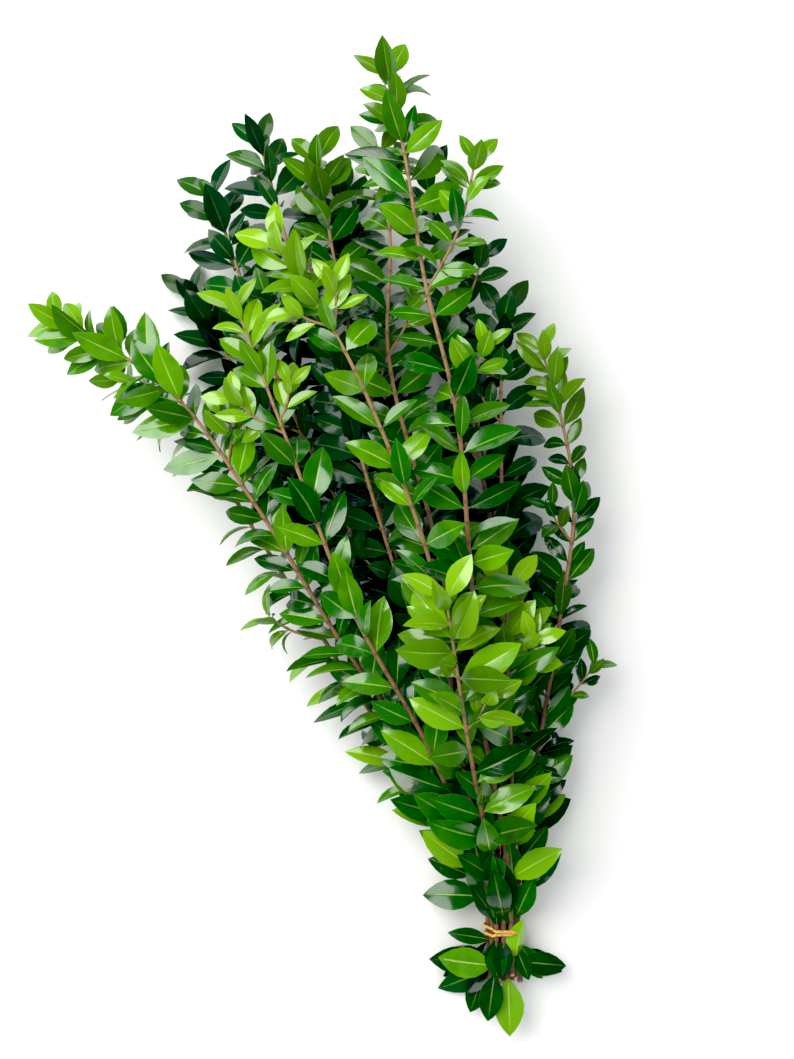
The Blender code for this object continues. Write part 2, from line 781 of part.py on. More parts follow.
def main():
    clear_scene()
    thicket = Thicket()
    branches = {name: branches_of(name, stem) for name, stem in STEMS.items()}
    for name, limbs in branches.items():
        for limb in limbs:
            limb["tube"] = tube(limb["line"], limb["radii"])
            thicket.add(name + " wood", *limb["tube"])
    band_mesh = rubber_band()
    thicket.add("band", *band_mesh)
    leaves = grow_leaves(thicket, branches)

    objects = [leafy_stem(name, limbs, leaves[name]) for name, limbs in branches.items()]
    band = add_object("rubber_band", *band_mesh, "rubber")
    outward_facing(band)
    objects.append(band)

    bunch = bpy.data.objects.new("bunch", None)
    bpy.context.scene.collection.objects.link(bunch)
    bunch.location = -footprint_centre(objects)
    for obj in objects:
        obj.parent = bunch


main()
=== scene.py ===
import math
import random

import bmesh
import bpy
import numpy as np
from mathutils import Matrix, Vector
from mathutils.bvhtree import BVHTree


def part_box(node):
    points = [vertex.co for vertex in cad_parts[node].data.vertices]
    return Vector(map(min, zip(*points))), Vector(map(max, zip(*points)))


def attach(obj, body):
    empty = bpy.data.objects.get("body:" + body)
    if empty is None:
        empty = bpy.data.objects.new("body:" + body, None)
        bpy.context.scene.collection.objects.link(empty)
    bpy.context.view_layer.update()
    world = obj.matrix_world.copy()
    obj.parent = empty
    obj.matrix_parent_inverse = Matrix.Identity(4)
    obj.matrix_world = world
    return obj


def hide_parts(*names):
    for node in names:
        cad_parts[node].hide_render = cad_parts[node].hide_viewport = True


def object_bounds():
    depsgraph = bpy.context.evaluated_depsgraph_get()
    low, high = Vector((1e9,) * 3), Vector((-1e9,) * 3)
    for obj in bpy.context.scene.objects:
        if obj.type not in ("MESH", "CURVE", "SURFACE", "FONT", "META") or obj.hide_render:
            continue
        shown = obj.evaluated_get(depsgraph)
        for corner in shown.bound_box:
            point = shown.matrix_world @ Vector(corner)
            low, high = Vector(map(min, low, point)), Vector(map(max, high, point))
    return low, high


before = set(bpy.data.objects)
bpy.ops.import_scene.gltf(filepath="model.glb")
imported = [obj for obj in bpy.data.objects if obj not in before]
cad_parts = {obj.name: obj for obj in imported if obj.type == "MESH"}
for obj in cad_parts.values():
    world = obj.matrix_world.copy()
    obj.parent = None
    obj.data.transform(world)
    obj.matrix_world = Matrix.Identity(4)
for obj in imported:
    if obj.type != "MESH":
        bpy.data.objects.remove(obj)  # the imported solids, which are never moved
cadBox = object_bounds()
mm = 0.001
up = Vector((0, 0, 1))

view = {
    "fromTie": (-66.8 * mm, 251.9 * mm, 1.0),  # the photo was taken looking straight down
    "lens": 53.26,
    "sensor": 36.0,
    "sees": (0.01, 20.0),  # nearest and farthest
    "blackLevel": (0.016, 0.012, 0.006),  # the photo's shadows are printed dark
}

light = {
    "windowPlace": (-0.85, 0.75, 1.5),
    "windowAim": (0.0, 0.0, 0.05),
    "windowSize": 1.6,
    "windowWatts": 32.0,
    "windowColour": (1.0, 0.985, 0.96),
    "roomStrength": 0.84,
    "roomColour": (0.97, 0.985, 1.0),
    "roomReflected": 0.03,  # the walls that leaves mirror are darker than the lamps
}

table = {
    "size": 7.0,
    "colour": (0.93, 0.93, 0.922),
    "shadeColour": (0.89, 0.892, 0.885),
    "cloudSize": 1.3,
    "roughness": 0.6,
    "specular": 0.2,
}


def setView(tie):
    bpy.ops.object.camera_add(location=tie + Vector(view["fromTie"]), rotation=(0, 0, 0))
    camera = bpy.context.object
    camera.name = "photoCamera"
    camera.data.lens = view["lens"]
    camera.data.sensor_width = view["sensor"]
    camera.data.clip_start, camera.data.clip_end = view["sees"]
    bpy.context.scene.camera = camera
    printed = bpy.context.scene.view_settings
    printed.view_transform = "Standard"
    printed.use_curve_mapping = True
    printed.curve_mapping.black_level = view["blackLevel"]
    printed.curve_mapping.update()


def setLight():
    bpy.ops.object.light_add(type="AREA", location=light["windowPlace"])
    window = bpy.context.object
    window.name = "softWindow"
    window.data.shape = "DISK"
    window.data.size = light["windowSize"]
    window.data.energy = light["windowWatts"]
    window.data.color = light["windowColour"]
    aim = Vector(light["windowAim"]) - Vector(light["windowPlace"])
    window.rotation_euler = aim.to_track_quat("-Z", "Y").to_euler()
    room = bpy.data.worlds.new("paleRoom")
    room.use_nodes = True
    air = room.node_tree.nodes["Background"]
    mirrored = addNode(room.node_tree, "LightPath")["Is Glossy Ray"]
    strength = light["roomStrength"]
    setInput(air, "Color", light["roomColour"])
    setInput(air, "Strength", fade(mirrored, 0.0, 1.0, strength, strength * light["roomReflected"]))
    bpy.context.scene.world = room


# Short names for the nodes that the materials use again and again

def setInput(node, name, value):
    # an input takes another node's value, a colour or a number
    socket = node.inputs[name]
    if isinstance(value, bpy.types.NodeSocket):
        value.id_data.links.new(value, socket)
    else:
        socket.default_value = (*value, 1) if socket.type == "RGBA" else value


def addNode(tree, kind, inputs=None, **settings):
    node = tree.nodes.new("ShaderNode" + kind)
    for name, value in settings.items():
        setattr(node, name, value)
    for name, value in (inputs or {}).items():
        setInput(node, name, value)
    return node.outputs


def mathNode(operation, *values, clamp=False):
    inputs = dict(enumerate(values))
    return addNode(values[0].id_data, "Math", inputs, operation=operation, use_clamp=clamp)[0]


def times(a, b):
    return mathNode("MULTIPLY", a, b)


def plus(a, b, clamp=False):
    return mathNode("ADD", a, b, clamp=clamp)


def minus(a, b):
    return mathNode("SUBTRACT", a, b)


def fade(value, start, end, low=0.0, high=1.0):
    inputs = {"Value": value, "From Min": start, "From Max": end, "To Min": low, "To Max": high}
    return addNode(value.id_data, "MapRange", inputs, interpolation_type="SMOOTHSTEP")["Result"]


def mix(share, a, b):
    return addNode(share.id_data, "Mix", {0: share, 6: a, 7: b}, data_type="RGBA")[2]


def layered(colour, *layers):
    for share, paint in layers:
        colour = mix(share, colour, paint)
    return colour


def noise(place, scale, detail=2.0, roughness=0.5):
    inputs = {"Vector": place, "Scale": scale, "Detail": detail, "Roughness": roughness}
    return addNode(place.id_data, "TexNoise", inputs)["Fac"]


def attribute(shader, name):
    return addNode(shader.id_data, "Attribute", attribute_name=name)["Fac"]


def setBump(shader, height, strength, distance):
    inputs = {"Strength": strength, "Distance": distance, "Height": height}
    setInput(shader, "Normal", addNode(shader.id_data, "Bump", inputs)["Normal"])


def newFinish(name):
    finish = bpy.data.materials.new(name)
    finish.use_nodes = True
    tree = finish.node_tree
    return finish, tree.nodes["Principled BSDF"], addNode(tree, "TexCoord")["Object"]


def tableFinish():
    finish, shader, place = newFinish("paleTable")
    cloud = noise(place, table["cloudSize"])
    setInput(shader, "Base Color", mix(cloud, table["shadeColour"], table["colour"]))
    setInput(shader, "Roughness", table["roughness"])
    setInput(shader, "Specular IOR Level", table["specular"])
    return finish


def setTable():
    bpy.ops.mesh.primitive_plane_add(size=table["size"], location=(0, 0, 0))
    top = bpy.context.object
    top.name = "paleTableTop"
    top.data.materials.append(tableFinish())


# How the stems are packed at the tie and how they fan out above it. The solids follow the same
# rule, and the finer stems and leaves here have to stay where the solids are.
sheaf = {
    "pitch": 4.6 * mm,
    "stemRadius": 2.1 * mm,
    "tipRadius": 0.9 * mm,
    "taperPower": 0.8,
    "sides": 4,
    "ringSpacing": 40 * mm,
    "heldLength": 12 * mm,
    "cutEndReach": 31 * mm,
    "cutEndStagger": 7 * mm,
    "cutEndSpread": 1.2,
    "fanDistance": 50 * mm,
    "fanWidening": 2.05,
    "fanShift": -9 * mm,
    "fanHeight": 24 * mm,
    "shootRadius": 1.0 * mm,
    "shootTipRadius": 0.7 * mm,
    "shootAngle": math.radians(42),
    "shootRise": 0.3,  # how far its outer half turns up
}

band = {
    "thickness": 1.1 * mm,
    "width": 1.9 * mm,
    "gap": 0.3 * mm,
    "slant": 2.6 * mm,
    "crossing": math.radians(40),
    "raisedWithin": 0.15,
    "lowBeyond": 0.3,
    "solidSteps": 24,
    "fineSteps": 180,
    "rings": 300,
    "sectionPoints": 12,
    "squareness": 0.62,  # the section is a rounded rectangle
    "colour": (0.80, 0.50, 0.10),
    "shadeColour": (0.52, 0.26, 0.045),
    "cloud": (500, 3, 0.55),  # a noise's scale, detail and roughness
    "cloudShare": 0.7,
    "dust": (2600,),
    "dustShare": 0.35,
    "shadeEdge": (0.35, 0.65),
    "dustBump": (0.25, 0.1 * mm),  # strength and depth
    "roughness": 0.46,
    "glow": 0.15,  # light that goes into the rubber, and how far its red, green and blue go
    "glowReach": (0.6 * mm, 0.3 * mm, 0.1 * mm),
}

rowRise = sheaf["pitch"] * math.sqrt(3) / 2
tieHeight = 2 * rowRise + sheaf["stemRadius"] + band["gap"] + band["thickness"]

# Seat in the sheaf as (row up, half pitches to the right), the route above the fan in mm from
# the tie, how far the leaves on the left and right lean out, how many pairs are added between two
# of the solid's, and side shoots as (mm up the stem, turn round it in degrees, length in mm).
# youngTip and youngShoots are how yellow-green the leaves get there, where it isn't as the finish
# has it. paler, and palerTip near the tip, paint a stem's leaves nearer their sunlit colours, which
# is painted light. What else a stem doesn't say is as in usualStem.
# tone is the leaf finish, from fresh for the stems on top and in front to deep for those low and behind,
# whose darker, bluer green is partly the older leaves' own and partly painted shade
usualStem = {
    "tone": "deep", "leans": (50, 50), "between": 2, "shoots": (), "paler": 0, "palerTip": 0,
    "leafShares": (1, 1),  # of the regular length and width
    "turnedIn": 0, "arched": 0,  # how far its leaves face the stem and bend down
    "addedForm": {"within": 0, "share": 1},  # of the leaves added this near to the tie
}
ownStems = {
    "centre_short": {
        "seat": (2, 0), "tone": "fresh", "leans": (50, 64),
        "route": ((-24, 122, 76), (-33, 176, 96), (-39, 214, 105)),
        "shoots": ((150, 15, 30),),
    },
    "centre_left": {
        "seat": (1, -1), "tone": "fresh", "leans": (34, 62), "between": 1,
        "route": ((-30, 126, 58), (-45, 223, 90), (-72, 300, 110), (-102, 363, 118), (-136, 414, 113)),
        "shoots": ((395, 20, 28), (398, 172, 24)),
    },
    "centre_long": {
        "seat": (2, 2), "tone": "fresh", "leans": (62, 66), "youngTip": 0.3,
        "route": ((-18, 151, 72), (-25, 239, 92), (-34, 325, 106), (-50, 389, 108), (-62, 465, 100),
                  (-72, 516, 92)),
        "shoots": ((340, 10, 38), (405, 12, 80)),
    },
    "left_inner": {
        "seat": (2, -2), "tone": "fresh", "leans": (42, 30), "between": 1,
        "route": ((-50, 126, 66), (-91, 201, 84), (-133, 311, 100), (-159, 380, 98)),
        "shoots": ((345, 180, 36), (352, 10, 24)),
    },
    "right_front": {
        "seat": (1, 3), "tone": "fresh", "leans": (52, 44),
        "route": ((1, 138, 58), (-2, 190, 73), (-1, 220, 78)),
        "shoots": ((175, 20, 28),),
    },
    "left_arm": {
        "seat": (1, -3), "tone": "fresh", "leans": (46, 38), "between": 3, "youngTip": 0.35, "paler": 0.1,
        "route": ((-58, 119, 42), (-104, 190, 60), (-150, 266, 76), (-203, 336, 88), (-240, 361, 92),
                  (-264, 372, 89)),
        "addedForm": {"within": 300 * mm, "share": 0.9, "turnedIn": 0.7, "arched": 0.5},
        "shoots": ((395, 195, 30), (340, 15, 32)),
    },
    "centre_back": {
        "seat": (1, 1), "tone": "green", "leans": (55, 60),
        "route": ((-23, 148, 50), (-47, 257, 70), (-72, 357, 84), (-71, 425, 86), (-77, 476, 80)),
        "shoots": ((370, 15, 36),),
    },
    "right_edge": {
        "seat": (0, 4), "tone": "green", "leans": (52, 34), "between": 3, "youngTip": 0.8,
        "route": ((19, 108, 30), (33, 195, 38), (41, 276, 44), (30, 332, 46), (21, 363, 45)),
        "leafShares": (0.82, 0.82), "addedForm": {"within": 310 * mm, "share": 0.76},
        "shoots": ((140, -8, 46), (250, 170, 26)), "youngShoots": 0.1,
    },
    "left_edge": {
        "seat": (0, -4), "tone": "green", "leans": (68, 40), "paler": 0.3,
        "route": ((-61, 104, 28), (-103, 171, 40), (-150, 246, 50), (-192, 309, 54), (-228, 339, 49)),
        "leafShares": (1, 0.75), "arched": 0.5, "turnedIn": 1.0,
        "addedForm": {"within": 400 * mm, "share": 0.9, "turnedIn": 1.0, "arched": 0.5},
        "shoots": ((215, 175, 38), (300, 350, 30)),
    },
    "dark_left": {
        "seat": (0, -2), "leans": (52, 50), "between": 3, "paler": -0.1,
        "route": ((-34, 129, 42), (-68, 228, 60), (-97, 329, 70), (-106, 370, 66)),
        "shoots": ((235, 170, 32),),
    },
    "back_mid": {
        "seat": (0, 0), "tone": "green", "leans": (50, 54),
        "route": ((-22, 135, 38), (-50, 239, 50), (-95, 370, 62), (-115, 473, 66)),
        "shoots": ((410, 200, 38), (345, 20, 36)),
    },
    "right_dark": {
        "seat": (0, 2), "leans": (66, 54),
        "route": ((4, 133, 26), (-1, 235, 32), (-3, 330, 38), (-2, 386, 38)),
        "shoots": ((320, 160, 28),),
    },
    "back_mid_left": {
        "seat": (-1, -1), "leans": (56, 52), "between": 3, "paler": -0.1, "palerTip": 0.4,
        "route": ((-34, 134, 28), (-68, 239, 42), (-120, 380, 53), (-150, 486, 51)),
        "shoots": ((390, 160, 40),),
    },
    "back_left": {
        "seat": (-1, -3), "leans": (56, 50), "between": 3, "palerTip": 0.35,
        "route": ((-46, 133, 22), (-87, 233, 32), (-140, 345, 42), (-180, 457, 42)),
        "shoots": ((335, 170, 42), (410, 15, 36)),
    },
    "back_right": {
        "seat": (-1, 1), "leans": (50, 54),
        "route": ((1, 133, 18), (-6, 233, 24), (-30, 370, 31), (-49, 468, 34)),
        "shoots": ((385, 8, 44), (300, 176, 34)),
    },
    "right_low": {
        "seat": (-1, 3), "between": 1, "paler": 0.55,
        "route": ((19, 126, 13), (22, 170, 12), (20, 214, 11)),
    },
    "under_left": {
        "seat": (-2, -2), "leans": (52, 50), "between": 3,
        "route": ((-46, 125, 8), (-96, 226, 8), (-150, 318, 8), (-197, 402, 8)),
    },
    "under_mid": {
        "seat": (-2, 0), "between": 3,
        "route": ((-22, 132, 9), (-46, 239, 9), (-85, 380, 9), (-103, 465, 9)),
    },
    "under_right": {
        "seat": (-2, 2), "between": 1,
        "route": ((6, 131, 8), (-2, 233, 8), (-27, 377, 8)),
    },
}

stems = {name: {**usualStem, **own} for name, own in ownStems.items()}


def smoothLine(points, spacing):
    # a smooth curve through the points, which it keeps
    at = [0.0]
    for a, b in zip(points, points[1:]):
        at.append(at[-1] + (b - a).length)
    steps = [(b - a) / (t - s) for a, b, s, t in zip(points, points[1:], at, at[1:])]
    slopes = [steps[0]]
    for i in range(1, len(points) - 1):
        before, after = at[i] - at[i - 1], at[i + 1] - at[i]
        slopes.append((steps[i - 1] * after + steps[i] * before) / (before + after))
    slopes.append(steps[-1])
    line = [points[0]]
    for i in range(len(points) - 1):
        span = at[i + 1] - at[i]
        count = max(1, round(span / spacing))
        for n in range(1, count + 1):
            u = n / count
            line.append(
                points[i] * (2 * u**3 - 3 * u**2 + 1)
                + slopes[i] * span * (u**3 - 2 * u**2 + u)
                + points[i + 1] * (3 * u**2 - 2 * u**3)
                + slopes[i + 1] * span * (u**3 - u**2)
            )
    return line


def lengthsAlong(line):
    at = [0.0]
    for a, b in zip(line, line[1:]):
        at.append(at[-1] + (b - a).length)
    return at


def placeOn(line, distance):
    for a, b in zip(line, line[1:]):
        step = (b - a).length
        if distance <= step or b is line[-1]:
            return a + (b - a) * (distance / step), (b - a).normalized()
        distance -= step


def roundStem(direction, turn):
    # a turn of 0 is to the right of the stem, and 90 degrees is up
    right = direction.cross(up).normalized()
    return right * math.cos(turn) + right.cross(direction) * math.sin(turn)


def solidTube(line, radii):
    corners, faces = [], []
    sides = sheaf["sides"]
    for i, point in enumerate(line):
        ahead = (line[min(i + 1, len(line) - 1)] - line[max(i - 1, 0)]).normalized()
        for n in range(sides):
            corners.append(point + roundStem(ahead, math.tau * (n + 0.5) / sides) * radii[i])
    for i in range(len(line) - 1):
        for n in range(sides):
            a, b = i * sides + n, i * sides + (n + 1) % sides
            faces += [(a, a + sides, b), (b, a + sides, b + sides)]
    last = (len(line) - 1) * sides
    for n in range(1, sides - 1):
        faces += [(0, n, n + 1), (last, last + n + 1, last + n)]
    return corners, faces


def radiusAt(branch, distance):
    return float(np.interp(distance, lengthsAlong(branch["line"]), branch["radii"]))


def stemPoints(name, stem):
    row, seat = stem["seat"]
    x, z = seat * sheaf["pitch"] / 2, row * rowRise
    stagger = random.Random(f"cut end {name}").uniform(-1, 1) * sheaf["cutEndStagger"]
    reach = sheaf["cutEndReach"] + stagger
    points = [
        Vector((x * sheaf["cutEndSpread"], -reach, tieHeight + z)),
        Vector((x, -sheaf["heldLength"] / 2, tieHeight + z)),
        Vector((x, sheaf["heldLength"] / 2, tieHeight + z)),
        Vector((sheaf["fanShift"] + x * sheaf["fanWidening"], sheaf["fanDistance"],
                sheaf["fanHeight"] + z * sheaf["fanWidening"])),
    ]
    return points + [Vector(point) * mm for point in stem["route"]], reach


def taper(line, thick, thin):
    at = lengthsAlong(line)
    return [thin + (thick - thin) * (1 - share / at[-1]) ** sheaf["taperPower"] for share in at]


def shootPoints(line, start, turn, length):
    root, ahead = placeOn(line, start)
    outward = roundStem(ahead, turn)
    first = ahead * math.cos(sheaf["shootAngle"]) + outward * math.sin(sheaf["shootAngle"])
    second = (first * 2 + ahead + up * sheaf["shootRise"]).normalized()
    middle = root + first * (length / 2)
    return [root, middle, middle + second * (length / 2)]


barkShape = {
    "stationSpacing": 4 * mm,
    "roundShare": 0.86,  # of the solid's corner radius
    "nodeSwell": 0.24,
    "nodeLength": 1.9 * mm,
    "wander": 0.05,
    "sideLevel": 2,  # bevel resolution: 8 sides
    "shootAge": (0.6, 0.4),  # at its root, and how much more at its tip
    "closest": 0.4 * mm,
    "weld": 0.01 * mm,
    "capInset": 0.28 * mm,
    "capDepth": -0.15 * mm,
    "capWithin": 1.5 * mm,
    "capFacing": 0.9,
    "cutWithin": 1.2,  # of the stem's radius from the end
    "cutSlants": (0.3, 0.9),  # mm back along the stem for each mm of height
}


def branchesOf(name, stem):
    # the stem and its side shoots
    points, reach = stemPoints(name, stem)
    line = smoothLine(points, sheaf["ringSpacing"])
    radii = taper(line, sheaf["stemRadius"], sheaf["tipRadius"])
    limbs = [(name, points, line, -reach, radii)]
    for number, (start, turn, length) in enumerate(stem["shoots"]):
        shoot = shootPoints(line, start * mm + reach, math.radians(turn), length * mm)
        radii = taper(shoot, sheaf["shootRadius"], sheaf["shootTipRadius"])
        limbs.append((f"{name} shoot {number}", shoot, shoot, start * mm, radii))
    branches = []
    for key, points, line, above, radii in limbs:
        fine = smoothLine(points, barkShape["stationSpacing"])
        branches.append({
            "key": key, "stem": name, "isShoot": key != name, "line": line, "fine": fine, "radii": radii,
            "length": lengthsAlong(line)[-1], "fineLength": lengthsAlong(fine)[-1], "rootAboveTie": above,
        })
    return branches


# Leaves stand in opposite pairs. The solids carry every fourth or fifth pair.
leafRule = {
    "pairSpacing": 12 * mm,
    "solidPairEvery": {"fresh": 4, "green": 4, "deep": 5},
    "pairTurns": (0, 55, -12, 125, 28),
    "terminalPair": 2 * mm,
    "bareNearTie": 62 * mm,
    "bareAtRoot": 6 * mm,
    "rootOffset": 0.4,
    "thickness": 0.65 * mm,  # of the solid leaf; a real one is thinner
    "widthRatio": 0.46,
    "lowLength": 38 * mm,
    "highLength": 29 * mm,
    "tipShare": 0.84,
    "shootShare": 0.76,
    "lengthFallsOver": 380 * mm,
    "tipLeavesWithin": 30 * mm,
    "tipLean": 34,
    "tieLean": 40,
    "tieLeavesWithin": 150 * mm,
    "turnVaries": 14,
    "leanVaries": 8,
    "tiltVaries": 20,
    "lengthVaries": 0.12,
    "widthVaries": 0.1,
    "faceUp": (0.75, 1.3),
    "faceIn": (0.0, 0.5),
    "folds": (8, 20),
    "droops": (12, 42),
    "attempts": 12,
    "ruleStray": 1.0,
    "placedStray": 0.0,
    "strayPerAttempt": 0.35,
    "clearance": 0.4 * mm,
    "clearanceSwell": 1.05,
    "clearOfOwnFrom": 0.16,
    "lowest": 0.4 * mm,
}

# What stands between the solids' pairs: more pairs, an upper leaf here and there, and a second
# pair across the one at each tip
addedRule = {
    "clearance": 0.05 * mm,
    "clearanceSwell": 1.0,
    "clearOfOwnFrom": 0.22,
    "lowest": 0.5 * mm,
    "tiltVaries": 30,
    "lengthVaries": 0.22,
    "widthVaries": 0.22,
    "folds": (8, 38),
    "droops": (8, 72),
    "coveringFolds": (8, 20),
    "coveringDroops": (4, 16),
    "coveringAttempts": 3,
    "crownTurn": 90,
    "crownTurnVaries": 34,
    "crownLean": 30,
    "crownShare": {"fresh": 0.16, "green": 0.22, "deep": 0.3},
    "tipPairs": ((9 * mm, 90), (17 * mm, 8), (26 * mm, 78), (34 * mm, -6), (43 * mm, 100)),
    "shootTipPairs": ((8 * mm, 90), (16 * mm, 5)),
}

# Leaves with a place and size of their own: stem, mm above the band, turn, lean, length and
# width in mm, and for some a tone, from 0 for the shaded colour to 1 for the sunlit colour, which
# is painted shade and light, yellow-green above 1
placedLeaves = (
    ("left_inner", -21, 166, 84, 36, 20, 0.85),
    ("left_arm", -6, 178, 78, 28, 10, 0.15),
    ("left_edge", -15, 184, 102, 31, 14, 0.0),
    ("back_left", -26, 194, 120, 33, 17, 0.9),
    ("left_inner", -25, 112, 162, 31, 16, 0.05),
    ("centre_back", -28, 86, 166, 38, 19, 1.6),
    ("right_front", -19, 12, 97, 33, 15, 0.0),
    ("right_edge", -9, 2, 148, 30, 13, 0.7),
    ("left_edge", 22, 174, 56, 38, 20, 0.55),
    ("left_inner", 9, 150, 14, 32, 13, 0.1),
    ("left_edge", 38, 176, 36, 30, 15, 0.3),
    ("left_arm", 48, 165, 30, 41, 17, 1.3),
    ("left_edge", 76, 176, 30, 34, 15, 1.7),
    ("centre_short", 9, 92, 24, 50, 16, 0.1),
    ("left_inner", 46, 80, 12, 34, 17, 0.0),
    ("centre_left", 66, 60, 24, 34, 15, 0.6),
    ("centre_long", 40, 20, 50, 42, 17, 1.2),
    ("right_edge", 26, 4, 42, 36, 15, 0.5),
    ("right_edge", 74, 8, 42, 30, 14, 1.5),
    ("right_edge", 98, 4, 44, 30, 18, 0.8),
    ("centre_short", 92, 12, 62, 36, 17, 0.95),
    ("centre_short", 114, 8, 62, 32, 15, 1.1),
    ("left_edge", 98, 150, 14, 30, 20, 1.8),
    ("left_edge", 104, 24, 60, 29, 17, 1.6),
    ("centre_left", 96, 160, 26, 42, 17, 0.05),
    ("left_inner", 126, 168, 28, 40, 17, 1.0),
    ("left_edge", 122, 178, 36, 38, 13, 1.9),
    ("left_edge", 180, 180, 66, 33, 11, 1.7),
    ("left_edge", 209, 182, 80, 38, 11, 1.5),
    ("centre_short", 152, 172, 48, 38, 17, 1.3),
    ("centre_short", 184, 10, 65, 42, 19, 1.2),
    ("centre_short", 210, 170, 42, 32, 14, 1.1),
    ("right_front", 164, 10, 42, 27, 13, 1.2),
    ("right_front", 197, 14, 34, 29, 15, 1.3),
    ("centre_long", 254, 8, 60, 34, 14, None),
    ("right_edge", 178, 6, 46, 29, 13, None),
    ("right_edge", 202, 100, 12, 30, 11, None),
    ("left_arm", 398, 70, 14, 34, 16, None),
    ("left_arm", 430, 30, 46, 28, 13, None),
    ("centre_left", 408, 150, 12, 31, 16, None),
)

# Leaves that lie over the tied stems, beside the solid ones: stem, mm above the band, turn, lean,
# length and width in mm, and tone, from painted shade at 0 to painted light at 1
coveringLeaves = (
    ("centre_short", -4, 104, 168, 25, 14, -0.1),
    ("left_inner", -6, 84, 168, 23, 13, 0.1),
    ("left_inner", -3, 112, 172, 25, 14, -0.1),
    ("left_edge", -7, 140, 160, 27, 14, 0.0),
    ("left_edge", -21, 168, 88, 36, 18, 0.1),
    ("left_edge", -28, 180, 164, 27, 15, 0.2),
    ("left_inner", 3, 96, 14, 26, 12, 0.0),
    ("centre_short", 4, 116, 12, 28, 12, 0.2),
    ("centre_long", 3, 118, 14, 26, 12, 0.1),
    ("centre_long", 12, 112, 12, 46, 16, -0.1),
    ("right_front", -10, 40, 155, 22, 12, 0.1),
    ("dark_left", -20, 170, 140, 27, 14, 0.2),
    ("left_inner", 6, 122, 30, 38, 15, 0.15),
    ("right_front", 8, 50, 24, 38, 14, 0.35),
    ("centre_left", 22, 84, 20, 40, 15, 0.0),
    ("left_arm", 26, 96, 24, 38, 15, 0.5),
    ("left_inner", 28, 60, 22, 38, 15, 0.05),
    ("right_front", 36, 104, 20, 36, 14, 0.25),
    ("centre_long", 26, 120, 20, 40, 15, 0.5),
    ("centre_short", 40, 150, 34, 36, 15, 0.2),
    ("left_edge", 54, 150, 28, 34, 15, 1.2),
    ("left_arm", 62, 130, 22, 38, 15, 0.9),
    ("right_edge", 48, 40, 34, 34, 14, 0.35),
    ("right_front", 60, 60, 30, 36, 15, 0.9),
    ("centre_long", 70, 40, 40, 38, 16, 1.2),
    ("centre_short", 60, 90, 22, 36, 15, 0.7),
    ("centre_left", 84, 130, 30, 38, 16, 0.1),
    ("right_front", 84, 20, 40, 36, 15, 1.1),
    ("centre_long", 96, 150, 36, 36, 15, 0.4),
    ("centre_long", 506, 184, 62, 24, 10, 0.3),
    ("centre_long", 482, 176, 72, 36, 14, 0.1),
    ("centre_long", 476, 192, 92, 28, 9, 0.8),
    ("centre_long", 494, 150, 22, 27, 10, 0.2),
    ("centre_long", 490, 14, 24, 28, 9, 0.3),
    ("centre_long", 462, 172, 42, 36, 15, 0.6),
    ("left_arm", 452, 150, 34, 30, 14, 0.8),
    ("left_arm", 436, 196, 62, 32, 15, 0.7),
    ("left_arm", 424, 110, 26, 36, 16, 0.9),
    ("left_arm", 410, -4, 52, 36, 16, 0.75),
    ("left_arm", 402, 188, 66, 36, 17, 0.6),
    ("left_arm", 386, 60, 34, 38, 17, 0.95),
    ("left_arm", 372, 176, 58, 38, 17, 0.8),
    ("left_arm", 360, -10, 60, 34, 15, 0.5),
    ("left_arm", 346, 186, 70, 36, 16, 0.7),
    ("left_arm", 330, 30, 50, 34, 15, 0.9),
    ("right_edge", 140, -14, 142, 40, 5, 0.0),
    ("right_edge", 116, -6, 70, 24, 9, 0.1),
    ("right_edge", 108, 10, 96, 19, 6, 0.2),
)

# The leaf that the band holds against the stems: it is draped over their corner, its tip is above
# the band and its lower part is folded under. The fold is at one of the pattern's rows.
heldLeaf = {
    "stem": "centre_long",
    "root": (5.2 * mm, -33.8 * mm, 13.9 * mm),
    "along": (0.076, 0.97, -0.215),
    "tilt": math.radians(29),
    "length": 44 * mm,
    "width": 20 * mm,
    "fold": math.radians(-29),
    "droop": math.radians(-20),
    "foldedAt": 0.46,
    "foldSlant": 0.085,
    "foldGap": 0.7 * mm,
    # its tone is as in placedLeaves: its sunlit colour, painted light, and a little yellow-green
    "tone": 1.3,
}

# Stem, mm above the band, left (-1) or right (1), and how far it points up the stem: leaves
# that lie flat on the table
restingLeaves = (
    ("under_left", 330, 1, 0.7),
    ("under_mid", 455, -1, 0.7),
    ("right_low", 160, 1, 0.7),
    ("under_right", -18, 1, -0.4),
    ("under_left", -18, -1, -0.5),
)

restingShape = {
    "length": 36 * mm,
    "width": 17 * mm,
    "fold": 0,
    "droop": math.radians(1),
    "stalkShare": 0.34,  # of the length, where it comes down to the table
    "rise": 0.35 * mm,
    "resting": True,
}

# The solid's blade: (share of the length, share of the half width) at its sides, where its rib
# has a corner, and its upper faces
bladeSides = ((0.34, 0.95), (0.70, 0.80))
bladeRib = 0.5
bladeCornerCount = 7
bladeTop = ((0, 5, 1), (1, 5, 6), (1, 6, 2), (2, 6, 3), (3, 6, 4), (4, 6, 5))


def solidBladeFaces():
    faces = list(bladeTop)
    faces += [tuple(corner + bladeCornerCount for corner in reversed(face)) for face in bladeTop]
    for a in range(bladeCornerCount - 1):
        b = (a + 1) % (bladeCornerCount - 1)
        belowA, belowB = a + bladeCornerCount, b + bladeCornerCount
        faces += [(a, b, belowB), (a, belowB, belowA)]
    return faces


bladeFaces = solidBladeFaces()


